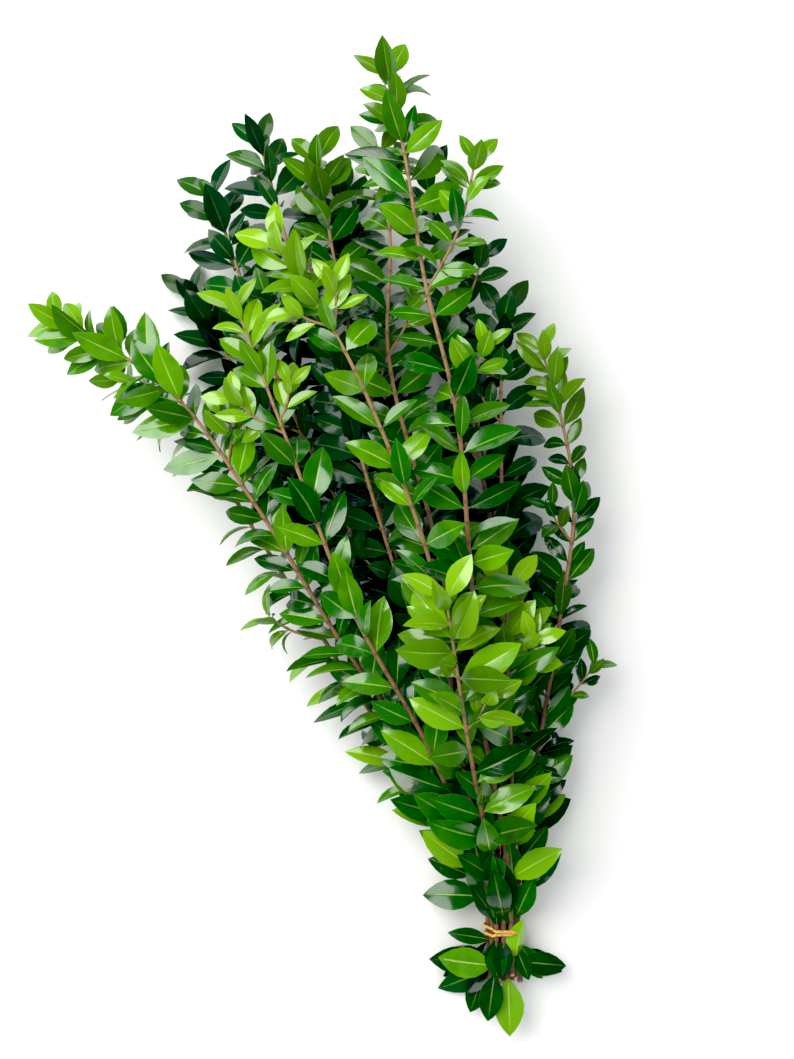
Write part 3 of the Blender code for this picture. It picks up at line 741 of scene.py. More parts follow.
def bladeCorners(leaf, thickness, swell=1.0, start=0.0):
    # the solid's blade: folded along its rib and bent down towards its tip
    along, normal = leaf["along"], leaf["normal"]
    side = along.cross(normal)
    length = leaf["length"] * swell
    halfWidth = leaf["width"] / 2 * swell
    bend = leaf["droop"]

    def at(share, reach):
        angle = bend * share
        point = leaf["root"] + along * (math.sin(angle) / bend * length)
        point -= normal * ((1 - math.cos(angle)) / bend * length)
        tilted = normal * math.cos(angle) + along * math.sin(angle)
        out = side * math.cos(leaf["fold"]) * reach
        point += out + tilted * (math.sin(leaf["fold"]) * abs(reach))
        return point + tilted * (thickness / 2), point - tilted * (thickness / 2)

    rows = [at(start, 0)]
    rows += [at(share, -halfWidth * wide) for share, wide in bladeSides]
    rows += [at(1, 0)]
    rows += [at(share, halfWidth * wide) for share, wide in reversed(bladeSides)]
    rows += [at(bladeRib, 0)]
    return [top for top, _ in rows] + [bottom for _, bottom in rows]


# What is already in place, so that a new leaf can be bent clear of it
thicket = {"trees": [], "owners": [], "lows": np.empty((0, 3)), "highs": np.empty((0, 3))}


def addToThicket(owner, corners, faces):
    points = np.array(corners)
    thicket["trees"].append(BVHTree.FromPolygons(corners, faces))
    thicket["owners"].append(owner)
    thicket["lows"] = np.vstack((thicket["lows"], points.min(axis=0)))
    thicket["highs"] = np.vstack((thicket["highs"], points.max(axis=0)))


def isClear(owner, leaf, shape):
    # whether the leaf keeps its distance from the table and from what is already in place
    if min(corner.z for corner in bladeCorners(leaf, leafRule["thickness"])) < shape["lowest"]:
        return False
    grown = leafRule["thickness"] + 2 * shape["clearance"]
    whole = bladeCorners(leaf, grown, shape["clearanceSwell"])
    outer = bladeCorners(leaf, grown, shape["clearanceSwell"], shape["clearOfOwnFrom"])
    points = np.array(whole)
    near = (thicket["lows"] <= points.max(axis=0)) & (thicket["highs"] >= points.min(axis=0))
    wholeTree = BVHTree.FromPolygons(whole, bladeFaces)
    outerTree = BVHTree.FromPolygons(outer, bladeFaces)
    for i in np.flatnonzero(near.all(axis=1)):
        other = thicket["owners"][i]
        tree = outerTree if other == owner else wholeTree
        if other != owner + " wood" and tree.overlap(thicket["trees"][i]):
            return False
    return True


def leafSize(branch, fromTie, fromTip):
    # the regular length and width of a leaf at this place
    share = min(1, max(0, fromTie / leafRule["lengthFallsOver"]))
    full = leafRule["lowLength"] + (leafRule["highLength"] - leafRule["lowLength"]) * share
    if branch["isShoot"]:
        full *= leafRule["shootShare"]
    grown = min(1, fromTip / leafRule["tipLeavesWithin"])
    length = full * (leafRule["tipShare"] + (1 - leafRule["tipShare"]) * grown)
    lengthShare, widthShare = stems[branch["stem"]]["leafShares"]
    return length * lengthShare, length * leafRule["widthRatio"] * widthShare


def leafOn(branch, fromRoot, **form):
    return {"branch": branch, "fromRoot": fromRoot, "fromTip": branch["length"] - fromRoot, **form}


def leafLean(fromTie, fromTip, regular):
    if fromTip < leafRule["tipLeavesWithin"]:
        share = fromTip / leafRule["tipLeavesWithin"]
        return leafRule["tipLean"] + (regular - leafRule["tipLean"]) * share
    return regular + (leafRule["tieLean"] - regular) * max(0, 1 - fromTie / leafRule["tieLeavesWithin"])


def drawLeaf(branch, fromRoot, turn, lean, size, chance, stray, shape, added=False):
    # one leaf, whose upper face turns up and towards the tip of the stem
    fromTie = branch["rootAboveTie"] + fromRoot
    form = stems[branch["stem"]]
    if added and fromTie < form["addedForm"]["within"]:
        form = {**form, **form["addedForm"]}
    point, ahead = placeOn(branch["line"], fromRoot)
    turnVaries, leanVaries = leafRule["turnVaries"], leafRule["leanVaries"]
    turn = math.radians(turn + chance.uniform(-turnVaries, turnVaries) * stray)
    lean = math.radians(lean + chance.uniform(-leanVaries, leanVaries) * stray)
    outward = roundStem(ahead, turn)
    along = (ahead * math.cos(lean) + outward * math.sin(lean)).normalized()
    faceIn = (ahead - along * ahead.dot(along)).normalized()
    faceUp = (up - along * up.dot(along)).normalized()
    beyondTie = min(1, max(0, fromTie / leafRule["tieLeavesWithin"]))
    normal = faceUp * chance.uniform(*leafRule["faceUp"])
    normal += faceIn * (chance.uniform(*leafRule["faceIn"]) + form["turnedIn"] * beyondTie)
    normal.normalize()
    tilt = math.radians(chance.uniform(-shape["tiltVaries"], shape["tiltVaries"]) * min(stray, 2))
    normal = (normal + along.cross(normal) * math.tan(tilt)).normalized()
    share = 1 + chance.uniform(-shape["lengthVaries"], shape["lengthVaries"]) * min(stray, 1)
    widthShare = 1 + chance.uniform(-shape["widthVaries"], shape["widthVaries"]) * min(stray, 1)
    return leafOn(
        branch, fromRoot,
        root=point + outward * (radiusAt(branch, fromRoot) * leafRule["rootOffset"]),
        along=along,
        normal=normal,
        length=size[0] * share,
        width=size[1] * share * widthShare,
        fold=math.radians(chance.uniform(*shape["folds"])),
        droop=math.radians(chance.uniform(*shape["droops"])) * (1 + form["arched"] * beyondTie),
        key=f"{branch['key']} {fromRoot:.4f} {turn:.3f}",
    )


def insideBox(corners):
    shifted = [corner + shift for corner in corners]
    return all(cadBox[0][i] < corner[i] < cadBox[1][i] for corner in shifted for i in (0, 1, 2))


def coveringLeaf(branch, above, turn, lean, size):
    # the first clear one of a few tries, or else the first try, which may touch its neighbours
    fromRoot = above * mm - branch["rootAboveTie"]
    shape = {**addedRule, "folds": addedRule["coveringFolds"], "droops": addedRule["coveringDroops"]}
    tries = []
    for attempt in range(addedRule["coveringAttempts"]):
        chance = random.Random(f"{branch['key']} covering {above} {attempt}")
        stray = leafRule["strayPerAttempt"] * attempt
        tries.append(drawLeaf(branch, fromRoot, turn, lean, size, chance, stray, shape))
        if isClear(branch["stem"], tries[-1], shape) and insideBox(bladeCorners(tries[-1], 0)):
            return tries[-1]
    return tries[0]


def growLeaf(branch, fromRoot, turn, lean, size, name, firstStray=leafRule["ruleStray"], added=False):
    shape = addedRule if added else leafRule
    form = stems[branch["stem"]]["addedForm"]
    if added and branch["rootAboveTie"] + fromRoot < form["within"]:
        size = (size[0] * form["share"], size[1] * form["share"])
    for attempt in range(leafRule["attempts"]):
        chance = random.Random(f"{branch['key']} {name} {attempt}")
        stray = firstStray + leafRule["strayPerAttempt"] * attempt
        leaf = drawLeaf(branch, fromRoot, turn, lean, size, chance, stray, shape, added)
        corners = bladeCorners(leaf, leafRule["thickness"])
        if isClear(branch["stem"], leaf, shape) and not (added and not insideBox(corners)):
            addToThicket(branch["stem"], corners, bladeFaces)
            return [leaf]
    return []


def growPair(branch, fromTip, turn, key, added=False):
    fromRoot = branch["length"] - fromTip
    fromTie = branch["rootAboveTie"] + fromRoot
    if fromRoot < leafRule["bareAtRoot"] or fromTie < leafRule["bareNearTie"]:
        return []
    left, right = (leafLean(fromTie, fromTip, lean) for lean in stems[branch["stem"]]["leans"])
    size = leafSize(branch, fromTie, fromTip)
    grown = growLeaf(branch, fromRoot, turn, right, size, f"{key} 0", added=added)
    return grown + growLeaf(branch, fromRoot, turn + 180, left, size, f"{key} 1", added=added)


def pairPlaces(branch):
    # how far from the tip each pair stands
    count = int(branch["length"] / leafRule["pairSpacing"])
    return [leafRule["terminalPair"] + pair * leafRule["pairSpacing"] for pair in range(count)]


def solidPairs(branch):
    # what the solid of this stem or shoot carries
    grown = []
    every = leafRule["solidPairEvery"][stems[branch["stem"]]["tone"]]
    for pair, fromTip in list(enumerate(pairPlaces(branch)))[::every]:
        turn = leafRule["pairTurns"][pair % len(leafRule["pairTurns"])]
        grown += growPair(branch, fromTip, turn, pair)
    return grown


def addedPairs(branch):
    stem = stems[branch["stem"]]
    chance = random.Random("added " + branch["key"])
    steps = stem["between"] + 1
    step = leafRule["solidPairEvery"][stem["tone"]] * leafRule["pairSpacing"] / steps
    grown = []
    for fromTip, turn in addedRule["shootTipPairs" if branch["isShoot"] else "tipPairs"]:
        grown += growPair(branch, fromTip, turn, f"tip {fromTip:.3f}", added=True)
    for n in range(1, int(branch["length"] / step) + 1):
        fromTip = leafRule["terminalPair"] + n * step
        if n % steps:
            turn = chance.uniform(-1, 1) * leafRule["turnVaries"]
            grown += growPair(branch, fromTip, turn, f"added {n}", added=True)
        fromRoot = branch["length"] - fromTip - step / 2
        if chance.random() < addedRule["crownShare"][stem["tone"]] and fromRoot > leafRule["bareAtRoot"]:
            turn = addedRule["crownTurn"] + chance.uniform(-1, 1) * addedRule["crownTurnVaries"]
            fromTie = branch["rootAboveTie"] + fromRoot
            size = leafSize(branch, fromTie, fromTip + step / 2)
            lean = addedRule["crownLean"]
            if fromTie > leafRule["bareNearTie"]:
                grown += growLeaf(branch, fromRoot, turn, lean, size, f"crown {n}", added=True)
    return grown


def restingLeaf(branch, fromRoot, side, forward):
    # its root is on the stem and its blade lies flat on the table
    point, ahead = placeOn(branch["line"], fromRoot)
    along = ahead * forward + roundStem(ahead, 0) * side
    along.z = 0
    key = f"{branch['key']} resting {fromRoot:.4f}"
    leaf = leafOn(branch, fromRoot, root=point, along=along.normalized(), normal=up, key=key, **restingShape)
    corners = bladeCorners(leaf, leafRule["thickness"])
    for i, corner in enumerate(corners):
        if i % bladeCornerCount:
            corner.z = leafRule["thickness"] if i < bladeCornerCount else 0
    return leaf, corners


def leafUnderBand(branch):
    along = Vector(heldLeaf["along"]).normalized()
    upright = (up - along * up.dot(along)).normalized()
    right = along.cross(upright)
    place = {
        "root": Vector(heldLeaf["root"]) + Vector((0, 0, tieHeight)),
        "along": along,
        "normal": upright * math.cos(heldLeaf["tilt"]) + right * math.sin(heldLeaf["tilt"]),
    }
    return leafOn(branch, 0, **{**heldLeaf, **place, "key": "held by the band"})


def bandPath(steps):
    # twice round the six corner stems, crossing itself once; (place, outward) at each step
    cornerSeat = 2 * sheaf["pitch"]
    lift = sheaf["stemRadius"] + band["gap"] + band["thickness"] / 2
    path = []
    for step in range(2 * steps):
        turn = step / steps
        angle = math.tau * turn + band["crossing"] - math.pi
        corner = round(angle / (math.pi / 3)) * math.pi / 3
        outward = Vector((math.cos(angle), 0, math.sin(angle)))
        seat = Vector((math.cos(corner), 0, math.sin(corner))) * cornerSeat
        fromCrossing = abs(turn - 1.5)
        over = (band["lowBeyond"] - fromCrossing) / (band["lowBeyond"] - band["raisedWithin"])
        rise = (band["thickness"] + band["gap"]) * min(1, max(0, over))
        slant = Vector((0, band["slant"] * math.cos(math.pi * turn), 0))
        path.append((seat + outward * (lift + rise) + slant, outward))
    return path


def solidBand():
    corners, faces = [], []
    path = bandPath(band["solidSteps"])
    for place, outward in path:
        out = outward * (band["thickness"] / 2)
        wide = Vector((0, band["width"] / 2, 0))
        for corner in (out + wide, out - wide, -out - wide, -out + wide):
            corners.append(Vector((0, 0, tieHeight)) + place + corner)
    for i in range(len(path)):
        j = (i + 1) % len(path)
        for n in range(4):
            m = (n + 1) % 4
            a, b, c, d = i * 4 + n, i * 4 + m, j * 4 + m, j * 4 + n
            faces += [(a, b, c), (a, c, d)]
    return corners, faces


branches = {name: branchesOf(name, stem) for name, stem in stems.items()}
for name, limbs in branches.items():
    for limb in limbs:
        addToThicket(name + " wood", *solidTube(limb["line"], limb["radii"]))
bandCorners, bandFaces = solidBand()
addToThicket("band", bandCorners, bandFaces)

# Everything above is measured from the tie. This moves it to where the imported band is.
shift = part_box("rubber_band")[0] - Vector(np.array(bandCorners).min(axis=0))

setView(shift)
setLight()
setTable()
print("camera, light and table are set")

leaves = {name: [] for name in branches}
for name, above, side, forward in restingLeaves:
    limb = branches[name][0]
    leaf, corners = restingLeaf(limb, above * mm - limb["rootAboveTie"], side, forward)
    addToThicket(name, corners, bladeFaces)
    leaves[name].append(leaf)
for name, above, turn, lean, length, width, tone in placedLeaves:
    limb = branches[name][0]
    fromRoot = above * mm - limb["rootAboveTie"]
    size = (length * mm, width * mm)
    grown = growLeaf(limb, fromRoot, turn, lean, size, f"placed {above}", leafRule["placedStray"])
    leaves[name] += [{**leaf, "tone": tone} for leaf in grown]
for name, limbs in branches.items():
    for limb in limbs:
        leaves[name] += solidPairs(limb)
solidCount = sum(len(found) for found in leaves.values())
print("leaves that the solids carry:", solidCount)

for name, above, turn, lean, length, width, tone in coveringLeaves:
    leaf = coveringLeaf(branches[name][0], above, turn, lean, (length * mm, width * mm))
    leaf["tone"] = tone
    addToThicket(name, bladeCorners(leaf, leafRule["thickness"]), bladeFaces)
    leaves[name].append(leaf)
underBand = leafUnderBand(branches[heldLeaf["stem"]][0])
addToThicket(heldLeaf["stem"], bladeCorners(underBand, leafRule["thickness"]), bladeFaces)
leaves[heldLeaf["stem"]].append(underBand)
for name, limbs in branches.items():
    for limb in limbs:
        leaves[name] += addedPairs(limb)
print("leaves added between them:", sum(len(found) for found in leaves.values()) - solidCount)


leafShape = {
    # (share of the length, share of the half width) from the stalk to the tip
    "outline": ((0.0, 0.07), (0.055, 0.10), (0.16, 0.45), (0.30, 0.82), (0.46, 1.0), (0.61, 0.95),
                (0.76, 0.72), (0.89, 0.38), (1.0, 0.0)),
    "across": 4,
    "near": 0.01,  # points this near to a row of the pattern are in it
    "weld": 0.05 * mm,
    "middleAt": 0.55,
    "ribThickness": 0.25 * mm,
    "halfThickness": 0.14 * mm,
    "curl": (-0.02, 0.22),
    "twist": (-16, 16),
    "twistedFrom": 0.3,
    "wave": (0.0, 0.07),
    "waves": 1.6,
    "waveShift": 1.9,
    "lowest": 0.25 * mm,
    "sharpFrom": math.radians(50),
}


def choosePoints(obj, test):
    # in edit mode: picks the points by their place
    work = bmesh.from_edit_mesh(obj.data)
    work.select_mode = {"VERT"}
    for vert in work.verts:
        vert.select_set(bool(test(vert)))
    work.select_flush_mode()
    bmesh.update_edit_mesh(obj.data)


def editAll():
    bpy.ops.object.mode_set(mode="EDIT")
    bpy.ops.mesh.select_mode(type="VERT")
    bpy.ops.mesh.select_all(action="SELECT")


def restingPoints(leaf, root, across, share, proud):
    # down from the stem, then flat on the table
    along, normal = np.array(leaf["along"]), np.array(leaf["normal"])
    side = np.cross(along, normal)
    points = root + np.outer(share * leaf["length"], along) + np.outer(across, side)
    drop = np.clip(1 - share / leaf["stalkShare"], 0, 1)
    points[:, 2] = leaf["rise"] + (root[2] - leaf["rise"]) * (3 * drop**2 - 2 * drop**3) + proud
    return points


def isInner(vert):
    return max(abs(vert.co.x), abs(vert.co.y)) < 1 - leafShape["near"]


def modelLeaf():
    # one leaf, 1 long and 2 wide, closed like a thin lens: its two faces meet at the margin
    outline, half = leafShape["outline"], leafShape["halfThickness"]
    rows = len(outline) - 1
    near = leafShape["near"]
    bpy.ops.object.select_all(action="DESELECT")
    bpy.ops.mesh.primitive_grid_add(x_subdivisions=leafShape["across"], y_subdivisions=rows, size=2)
    leaf = bpy.context.object
    leaf.name = "leafPattern"
    leaf.data.uv_layers[0].name = "leafUv"
    editAll()

    bpy.ops.mesh.duplicate()
    bpy.ops.mesh.flip_normals()
    choosePoints(leaf, lambda v: v.select and isInner(v))
    bpy.ops.transform.translate(value=(0, 0, -half))
    choosePoints(leaf, lambda v: isInner(v) and v.co.z > -near * mm)
    bpy.ops.transform.translate(value=(0, 0, half))
    bpy.ops.mesh.select_all(action="SELECT")
    bpy.ops.mesh.remove_doubles(threshold=leafShape["weld"])

    choosePoints(leaf, lambda v: abs(v.co.x) < near)
    bpy.ops.mesh.mark_sharp()  # the rib is a crease
    bpy.ops.transform.resize(value=(1, 1, leafShape["ribThickness"] / half), center_override=(0, 0, 0))
    choosePoints(leaf, lambda v: near < abs(v.co.x) < 1 - near)
    bpy.ops.transform.resize(value=(leafShape["middleAt"] / 0.5, 1, 1), center_override=(0, 0, 0))

    bpy.ops.mesh.select_all(action="SELECT")
    bpy.ops.transform.resize(value=(1, 0.5, 1), center_override=(0, -1, 0))
    bpy.ops.transform.translate(value=(0, 1, 0))
    for i, (share, width) in enumerate(outline[:-1]):
        choosePoints(leaf, lambda v: abs(v.co.y - i / rows) < near)
        bpy.ops.transform.resize(value=(width, 1, 1), center_override=(0, i / rows, 0))
        bpy.ops.transform.translate(value=(0, share - i / rows, 0))
    choosePoints(leaf, lambda v: v.co.y > 1 - near)
    bpy.ops.mesh.merge(type="CENTER")
    bpy.ops.object.mode_set(mode="OBJECT")
    bpy.ops.object.shade_smooth_by_angle(angle=leafShape["sharpFrom"])

    for name in ("leafShadeAndTone", "leafAge", "leafBack"):
        leaf.data.attributes.new(name, "FLOAT", "FACE")
    back = [float(face.normal.z < 0) for face in leaf.data.polygons]
    leaf.data.attributes["leafBack"].data.foreach_set("value", back)
    return leaf


def pointsOf(mesh):
    points = np.empty(len(mesh.vertices) * 3)
    mesh.vertices.foreach_get("co", points)
    return points.reshape(-1, 3)


def bentLeaf(flat, leaf):
    # lays the flat pattern along the leaf's own bend, fold, curl and twist
    chance = random.Random("shape " + leaf["key"])
    curl = chance.uniform(*leafShape["curl"])
    twist = math.radians(chance.uniform(*leafShape["twist"]))
    wave = chance.uniform(*leafShape["wave"])
    phase = chance.uniform(0, math.tau)
    across, share, proud = flat[:, 0], flat[:, 1], flat[:, 2]
    if leaf.get("foldedAt"):
        crease = leaf["foldedAt"] + leaf["foldSlant"] * across
        beyond, near = leaf["foldedAt"] - share, leafShape["near"]
        proud = np.where(beyond > near, -proud - leaf["foldGap"], proud)
        share = np.where(beyond > near, 2 * crease - share, np.where(beyond > -near, crease, share))
    halfWidth, length, bend, branch = leaf["width"] / 2, leaf["length"], leaf["droop"], leaf["branch"]
    fineRoot, _ = placeOn(branch["fine"], leaf["fromRoot"] / branch["length"] * branch["fineLength"])
    solidRoot, _ = placeOn(branch["line"], leaf["fromRoot"])
    root = np.array(leaf["root"] + fineRoot - solidRoot)
    reach = across * halfWidth * np.cos(leaf["fold"])
    if leaf.get("resting"):
        return restingPoints(leaf, root, reach, share, proud)

    outer = np.abs(across)
    lift = np.sin(leaf["fold"]) * outer - curl * outer**2
    ripple = np.sin(share * math.tau * leafShape["waves"] + phase + (across > 0) * leafShape["waveShift"])
    lift += wave * ripple * outer**1.5
    lift *= halfWidth
    along, normal = np.array(leaf["along"]), np.array(leaf["normal"])
    side = np.cross(along, normal)
    angle = bend * share
    tilted = np.outer(np.cos(angle), normal) + np.outer(np.sin(angle), along)
    roll = twist * (share - leafShape["twistedFrom"])
    sideways = side * np.cos(roll)[:, None] + tilted * np.sin(roll)[:, None]
    outward = tilted * np.cos(roll)[:, None] - side * np.sin(roll)[:, None]
    points = root + np.outer(np.sin(angle) / bend * length, along)
    points -= np.outer((1 - np.cos(angle)) / bend * length, normal)
    points += sideways * reach[:, None] + outward * (lift + proud)[:, None]
    points[:, 2] = np.maximum(points[:, 2], leafShape["lowest"])
    return points


leafLook = {
    # linear colours of the upper face from shaded to sunlit, for each of the record's finishes
    "fresh": {"dark": (0.001, 0.036, 0.001), "middle": (0.014, 0.150, 0.0),
              "bright": (0.140, 0.390, 0.001), "young": (0.27, 0.53, 0.006),
              "faintRib": 0.42, "boldRib": 1.0, "specular": 0.85},
    "green": {"dark": (0.0006, 0.024, 0.001), "middle": (0.005, 0.095, 0.0),
              "bright": (0.062, 0.260, 0.001), "young": (0.22, 0.46, 0.006),
              "faintRib": 0.30, "boldRib": 1.0, "specular": 0.72},
    # deep: partly the older leaves' own darker, bluer green and partly painted shade
    "deep": {"dark": (0.0003, 0.013, 0.006), "middle": (0.002, 0.048, 0.011),
             "bright": (0.012, 0.115, 0.008), "young": (0.12, 0.28, 0.008),
             "faintRib": 0.09, "boldRib": 0.55, "specular": 0.36},
    "youngWithin": 75 * mm,
    "palerWithin": 160 * mm,
    "youngShare": {"fresh": 0.75, "green": 0.35, "deep": 0.15},
    # painted light and shade: leaves are painted lighter the higher they sit, from lowTone at the table
    "lowTone": -0.02,
    "paintedLightRise": 0.55,
    "ownTones": (-0.22, -0.05, 0.12, 0.3, 0.5),
    "ownToneVaries": 0.1,
    "darkestTone": -0.3,
    "ageVaries": (-0.15, 0.12),
    "rib": (0.42, 0.62, 0.09),
    "back": (0.18, 0.34, 0.055),
    "margin": (0.28, 0.45, 0.04),
    "stalk": (0.42, 0.40, 0.12),
    "spot": (0.20, 0.10, 0.03),
    "shadeScale": (0.8, -0.12),
    "cloud": (85, 3, 0.55),  # a noise's scale, detail and roughness
    "cloudShare": 0.42,
    "ribHalfWidth": 0.016,
    "ribFade": 0.020,
    "ribAlong": (0.35, 1.0, 0.85, 0.25),  # from the first place to the second, it fades this far
    "boldFrom": (0.1, 0.85),
    "veins": 9.0,
    "veinSlant": 0.55,
    "veinEdge": 0.55,
    "veinShare": 0.014,
    "marginFrom": (0.465, 0.497),
    "marginShare": 0.34,
    "stalkFrom": (0.03, 0.12),
    "stalkShare": 0.8,
    "speck": (420, 2, 0.4),
    "speckEdge": (0.735, 0.76),
    "speckPatch": (26, 1),
    "speckPatchEdge": (0.60, 0.66),
    "speckShare": 0.8,
    "backShare": 0.62,
    "gloss": (140,),
    "glossEdge": (0.3, 0.7),
    "roughness": (0.08, 0.22),
    "backRoughness": 0.55,
    "veinHeight": -0.09,
    "ribDepth": 0.8,
    "grain": (300,),
    "grainHeight": 0.35,
    "bump": (0.35, 0.25 * mm),  # strength and depth
}


def leafFinish(tone):
    look = {**leafLook, **leafLook[tone]}
    finish, shader, place = newFinish(tone + "Leaf")
    uv = addNode(shader.id_data, "UVMap", uv_map="leafUv")["UV"]
    split = addNode(shader.id_data, "SeparateXYZ", {"Vector": uv})
    along = split["Y"]
    fromRib = mathNode("ABSOLUTE", minus(split["X"], 0.5))
    cloud = times(noise(place, *look["cloud"]), look["cloudShare"])
    # painted light and shade: each leaf is coloured from its shaded colour (dark) to its sunlit colour
    # (bright) by the value it carries, and its rib and margin show less where it is painted in shade
    shade = mathNode("MULTIPLY_ADD", attribute(shader, "leafShadeAndTone"), *look["shadeScale"])
    shade = plus(shade, cloud, clamp=True)

    # side veins leave the rib at a slant
    slanted = minus(along, times(fromRib, look["veinSlant"]))
    ripple = mathNode("SINE", times(slanted, look["veins"] * math.tau))
    veins = fade(ripple, look["veinEdge"], 1.0)
    ribEdge = look["ribHalfWidth"]
    onRib = fade(fromRib, ribEdge, ribEdge + look["ribFade"], 1.0, 0.0)
    ribShare = times(onRib, fade(along, *look["ribAlong"]))
    boldness = fade(shade, *look["boldFrom"], look["faintRib"], look["boldRib"])
    onMargin = times(fade(fromRib, *look["marginFrom"]), look["marginShare"])
    onStalk = fade(along, *look["stalkFrom"], 1.0, 0.0)
    speck = fade(noise(place, *look["speck"]), *look["speckEdge"])
    patch = fade(noise(place, *look["speckPatch"]), *look["speckPatchEdge"])
    back = attribute(shader, "leafBack")
    setInput(shader, "Base Color", layered(
        mix(fade(shade, 0.0, 0.5), look["dark"], look["middle"]),
        (fade(shade, 0.5, 1.0), look["bright"]),
        (attribute(shader, "leafAge"), look["young"]),
        (times(veins, look["veinShare"]), look["rib"]),
        (times(ribShare, boldness), look["rib"]),
        (times(onMargin, boldness), look["margin"]),
        (times(onStalk, look["stalkShare"]), look["stalk"]),
        (times(times(speck, patch), look["speckShare"]), look["spot"]),
        (times(back, look["backShare"]), look["back"]),
    ))

    rough = fade(noise(place, *look["gloss"]), *look["glossEdge"], *look["roughness"])
    setInput(shader, "Roughness", mathNode("MAXIMUM", rough, times(back, look["backRoughness"])))
    setInput(shader, "Specular IOR Level", look["specular"])
    height = minus(times(veins, look["veinHeight"]), times(onRib, look["ribDepth"]))
    height = plus(height, times(noise(place, *look["grain"]), look["grainHeight"]))
    setBump(shader, height, *look["bump"])
    return finish


def shadeAndToneOf(leaf):
    # painted light and shade: a leaf is painted lighter the higher it sits in the bunch and darker low down,
    # and besides differs at random; placed leaves keep their given tone
    if leaf.get("tone") is not None:
        return leaf["tone"]
    chance = random.Random("tone " + leaf["key"])
    stem, varies = stems[leaf["branch"]["stem"]], leafLook["ownToneVaries"]
    height = (leaf["root"].z + leaf["along"].z * leaf["length"] / 2) / cadBox[1].z
    own = chance.choice(leafLook["ownTones"]) + chance.uniform(-varies, varies)
    own += stem["paler"]
    own += stem["palerTip"] * max(0, 1 - leaf["fromTip"] / leafLook["palerWithin"])
    return min(1, max(leafLook["darkestTone"], leafLook["lowTone"] + leafLook["paintedLightRise"] * height + own))


def ageOf(leaf):
    if leaf.get("tone") is not None:
        return min(1, max(0, leaf["tone"] - 1))
    chance = random.Random("age " + leaf["key"])
    stem = stems[leaf["branch"]["stem"]]
    young = stem.get("youngTip", leafLook["youngShare"][stem["tone"]])
    if leaf["branch"]["isShoot"]:
        young = stem.get("youngShoots", young)
    young *= max(0, 1 - leaf["fromTip"] / leafLook["youngWithin"])
    return min(1, max(0, young + chance.uniform(*leafLook["ageVaries"])))


def joinPieces(name, pieces):
    bpy.ops.object.select_all(action="DESELECT")
    for piece in pieces:
        piece.select_set(True)
    bpy.context.view_layer.objects.active = pieces[0]
    bpy.ops.object.join()
    joined = bpy.context.object
    joined.name = joined.data.name = name
    return joined


def leavesPiece(name, found, pattern, finish):
    flat = pointsOf(pattern.data)
    faces = len(pattern.data.polygons)
    copies = []
    for leaf in found:
        mesh = pattern.data.copy()
        mesh.vertices.foreach_set("co", (bentLeaf(flat, leaf) + np.array(shift)).ravel())
        mesh.attributes["leafShadeAndTone"].data.foreach_set("value", [shadeAndToneOf(leaf)] * faces)
        mesh.attributes["leafAge"].data.foreach_set("value", [ageOf(leaf)] * faces)
        copy = bpy.data.objects.new("leafCopy", mesh)
        bpy.context.scene.collection.objects.link(copy)
        copies.append(copy)
    piece = joinPieces("leaves_" + name, copies)
    piece.data.materials.clear()
    piece.data.materials.append(finish)
    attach(piece, "root")
    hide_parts("leafy_stem_" + name)
    return piece


barkLook = {
    "old": (0.115, 0.042, 0.020),
    "sunny": (0.270, 0.142, 0.068),
    "youngBark": (0.350, 0.215, 0.095),
    "tipBark": (0.300, 0.330, 0.075),
    "nodeDark": (0.070, 0.030, 0.016),
    "cut": (0.72, 0.44, 0.25),
    "pith": (0.38, 0.19, 0.09),
    "streaks": (900, 4, 0.6),  # a noise's scale, detail and roughness
    "streakStretch": (1, 0.16, 1),
    "streakEdge": (0.36, 0.66),
    "streakShare": 0.6,
    "streakBump": (0.6, 0.3 * mm),  # strength and depth
    "patches": (120,),
    "patchShare": 0.5,
    "youngFrom": (0.25, 0.85),
    "tipFrom": (0.88, 1.0),
    "tipShare": 0.75,
    "nodeShare": 0.55,
    "roughEdge": (0.3, 0.7),
    "roughness": (0.55, 0.80),
    "specular": 0.3,
    "cutGrain": (1600, 3, 0.6),
    "cutGrainEdge": (0.38, 0.62),
    "cutGrainBump": (0.5, 0.2 * mm),
    "cutRoughness": 0.7,
}


def barkFinish():
    finish, shader, place = newFinish("twigBark")
    inputs = {"Vector": place, "Scale": barkLook["streakStretch"]}
    stretched = addNode(shader.id_data, "Mapping", inputs)["Vector"]
    streaks = noise(stretched, *barkLook["streaks"])
    shade = times(fade(streaks, *barkLook["streakEdge"]), barkLook["streakShare"])
    patches = times(noise(place, *barkLook["patches"]), barkLook["patchShare"])
    age = attribute(shader, "barkAge")
    setInput(shader, "Base Color", layered(
        mix(plus(shade, patches, clamp=True), barkLook["old"], barkLook["sunny"]),
        (fade(age, *barkLook["youngFrom"]), barkLook["youngBark"]),
        (fade(age, *barkLook["tipFrom"], 0.0, barkLook["tipShare"]), barkLook["tipBark"]),
        (times(attribute(shader, "barkJoint"), barkLook["nodeShare"]), barkLook["nodeDark"]),
    ))
    setInput(shader, "Roughness", fade(streaks, *barkLook["roughEdge"], *barkLook["roughness"]))
    setInput(shader, "Specular IOR Level", barkLook["specular"])
    setBump(shader, streaks, *barkLook["streakBump"])
    return finish


def cutFinish():
    finish, shader, place = newFinish("cutWood")
    grain = noise(place, *barkLook["cutGrain"])
    shade = fade(grain, *barkLook["cutGrainEdge"])
    setInput(shader, "Base Color", mix(shade, barkLook["pith"], barkLook["cut"]))
    setInput(shader, "Roughness", barkLook["cutRoughness"])
    setBump(shader, grain, *barkLook["cutGrainBump"])
    return finish


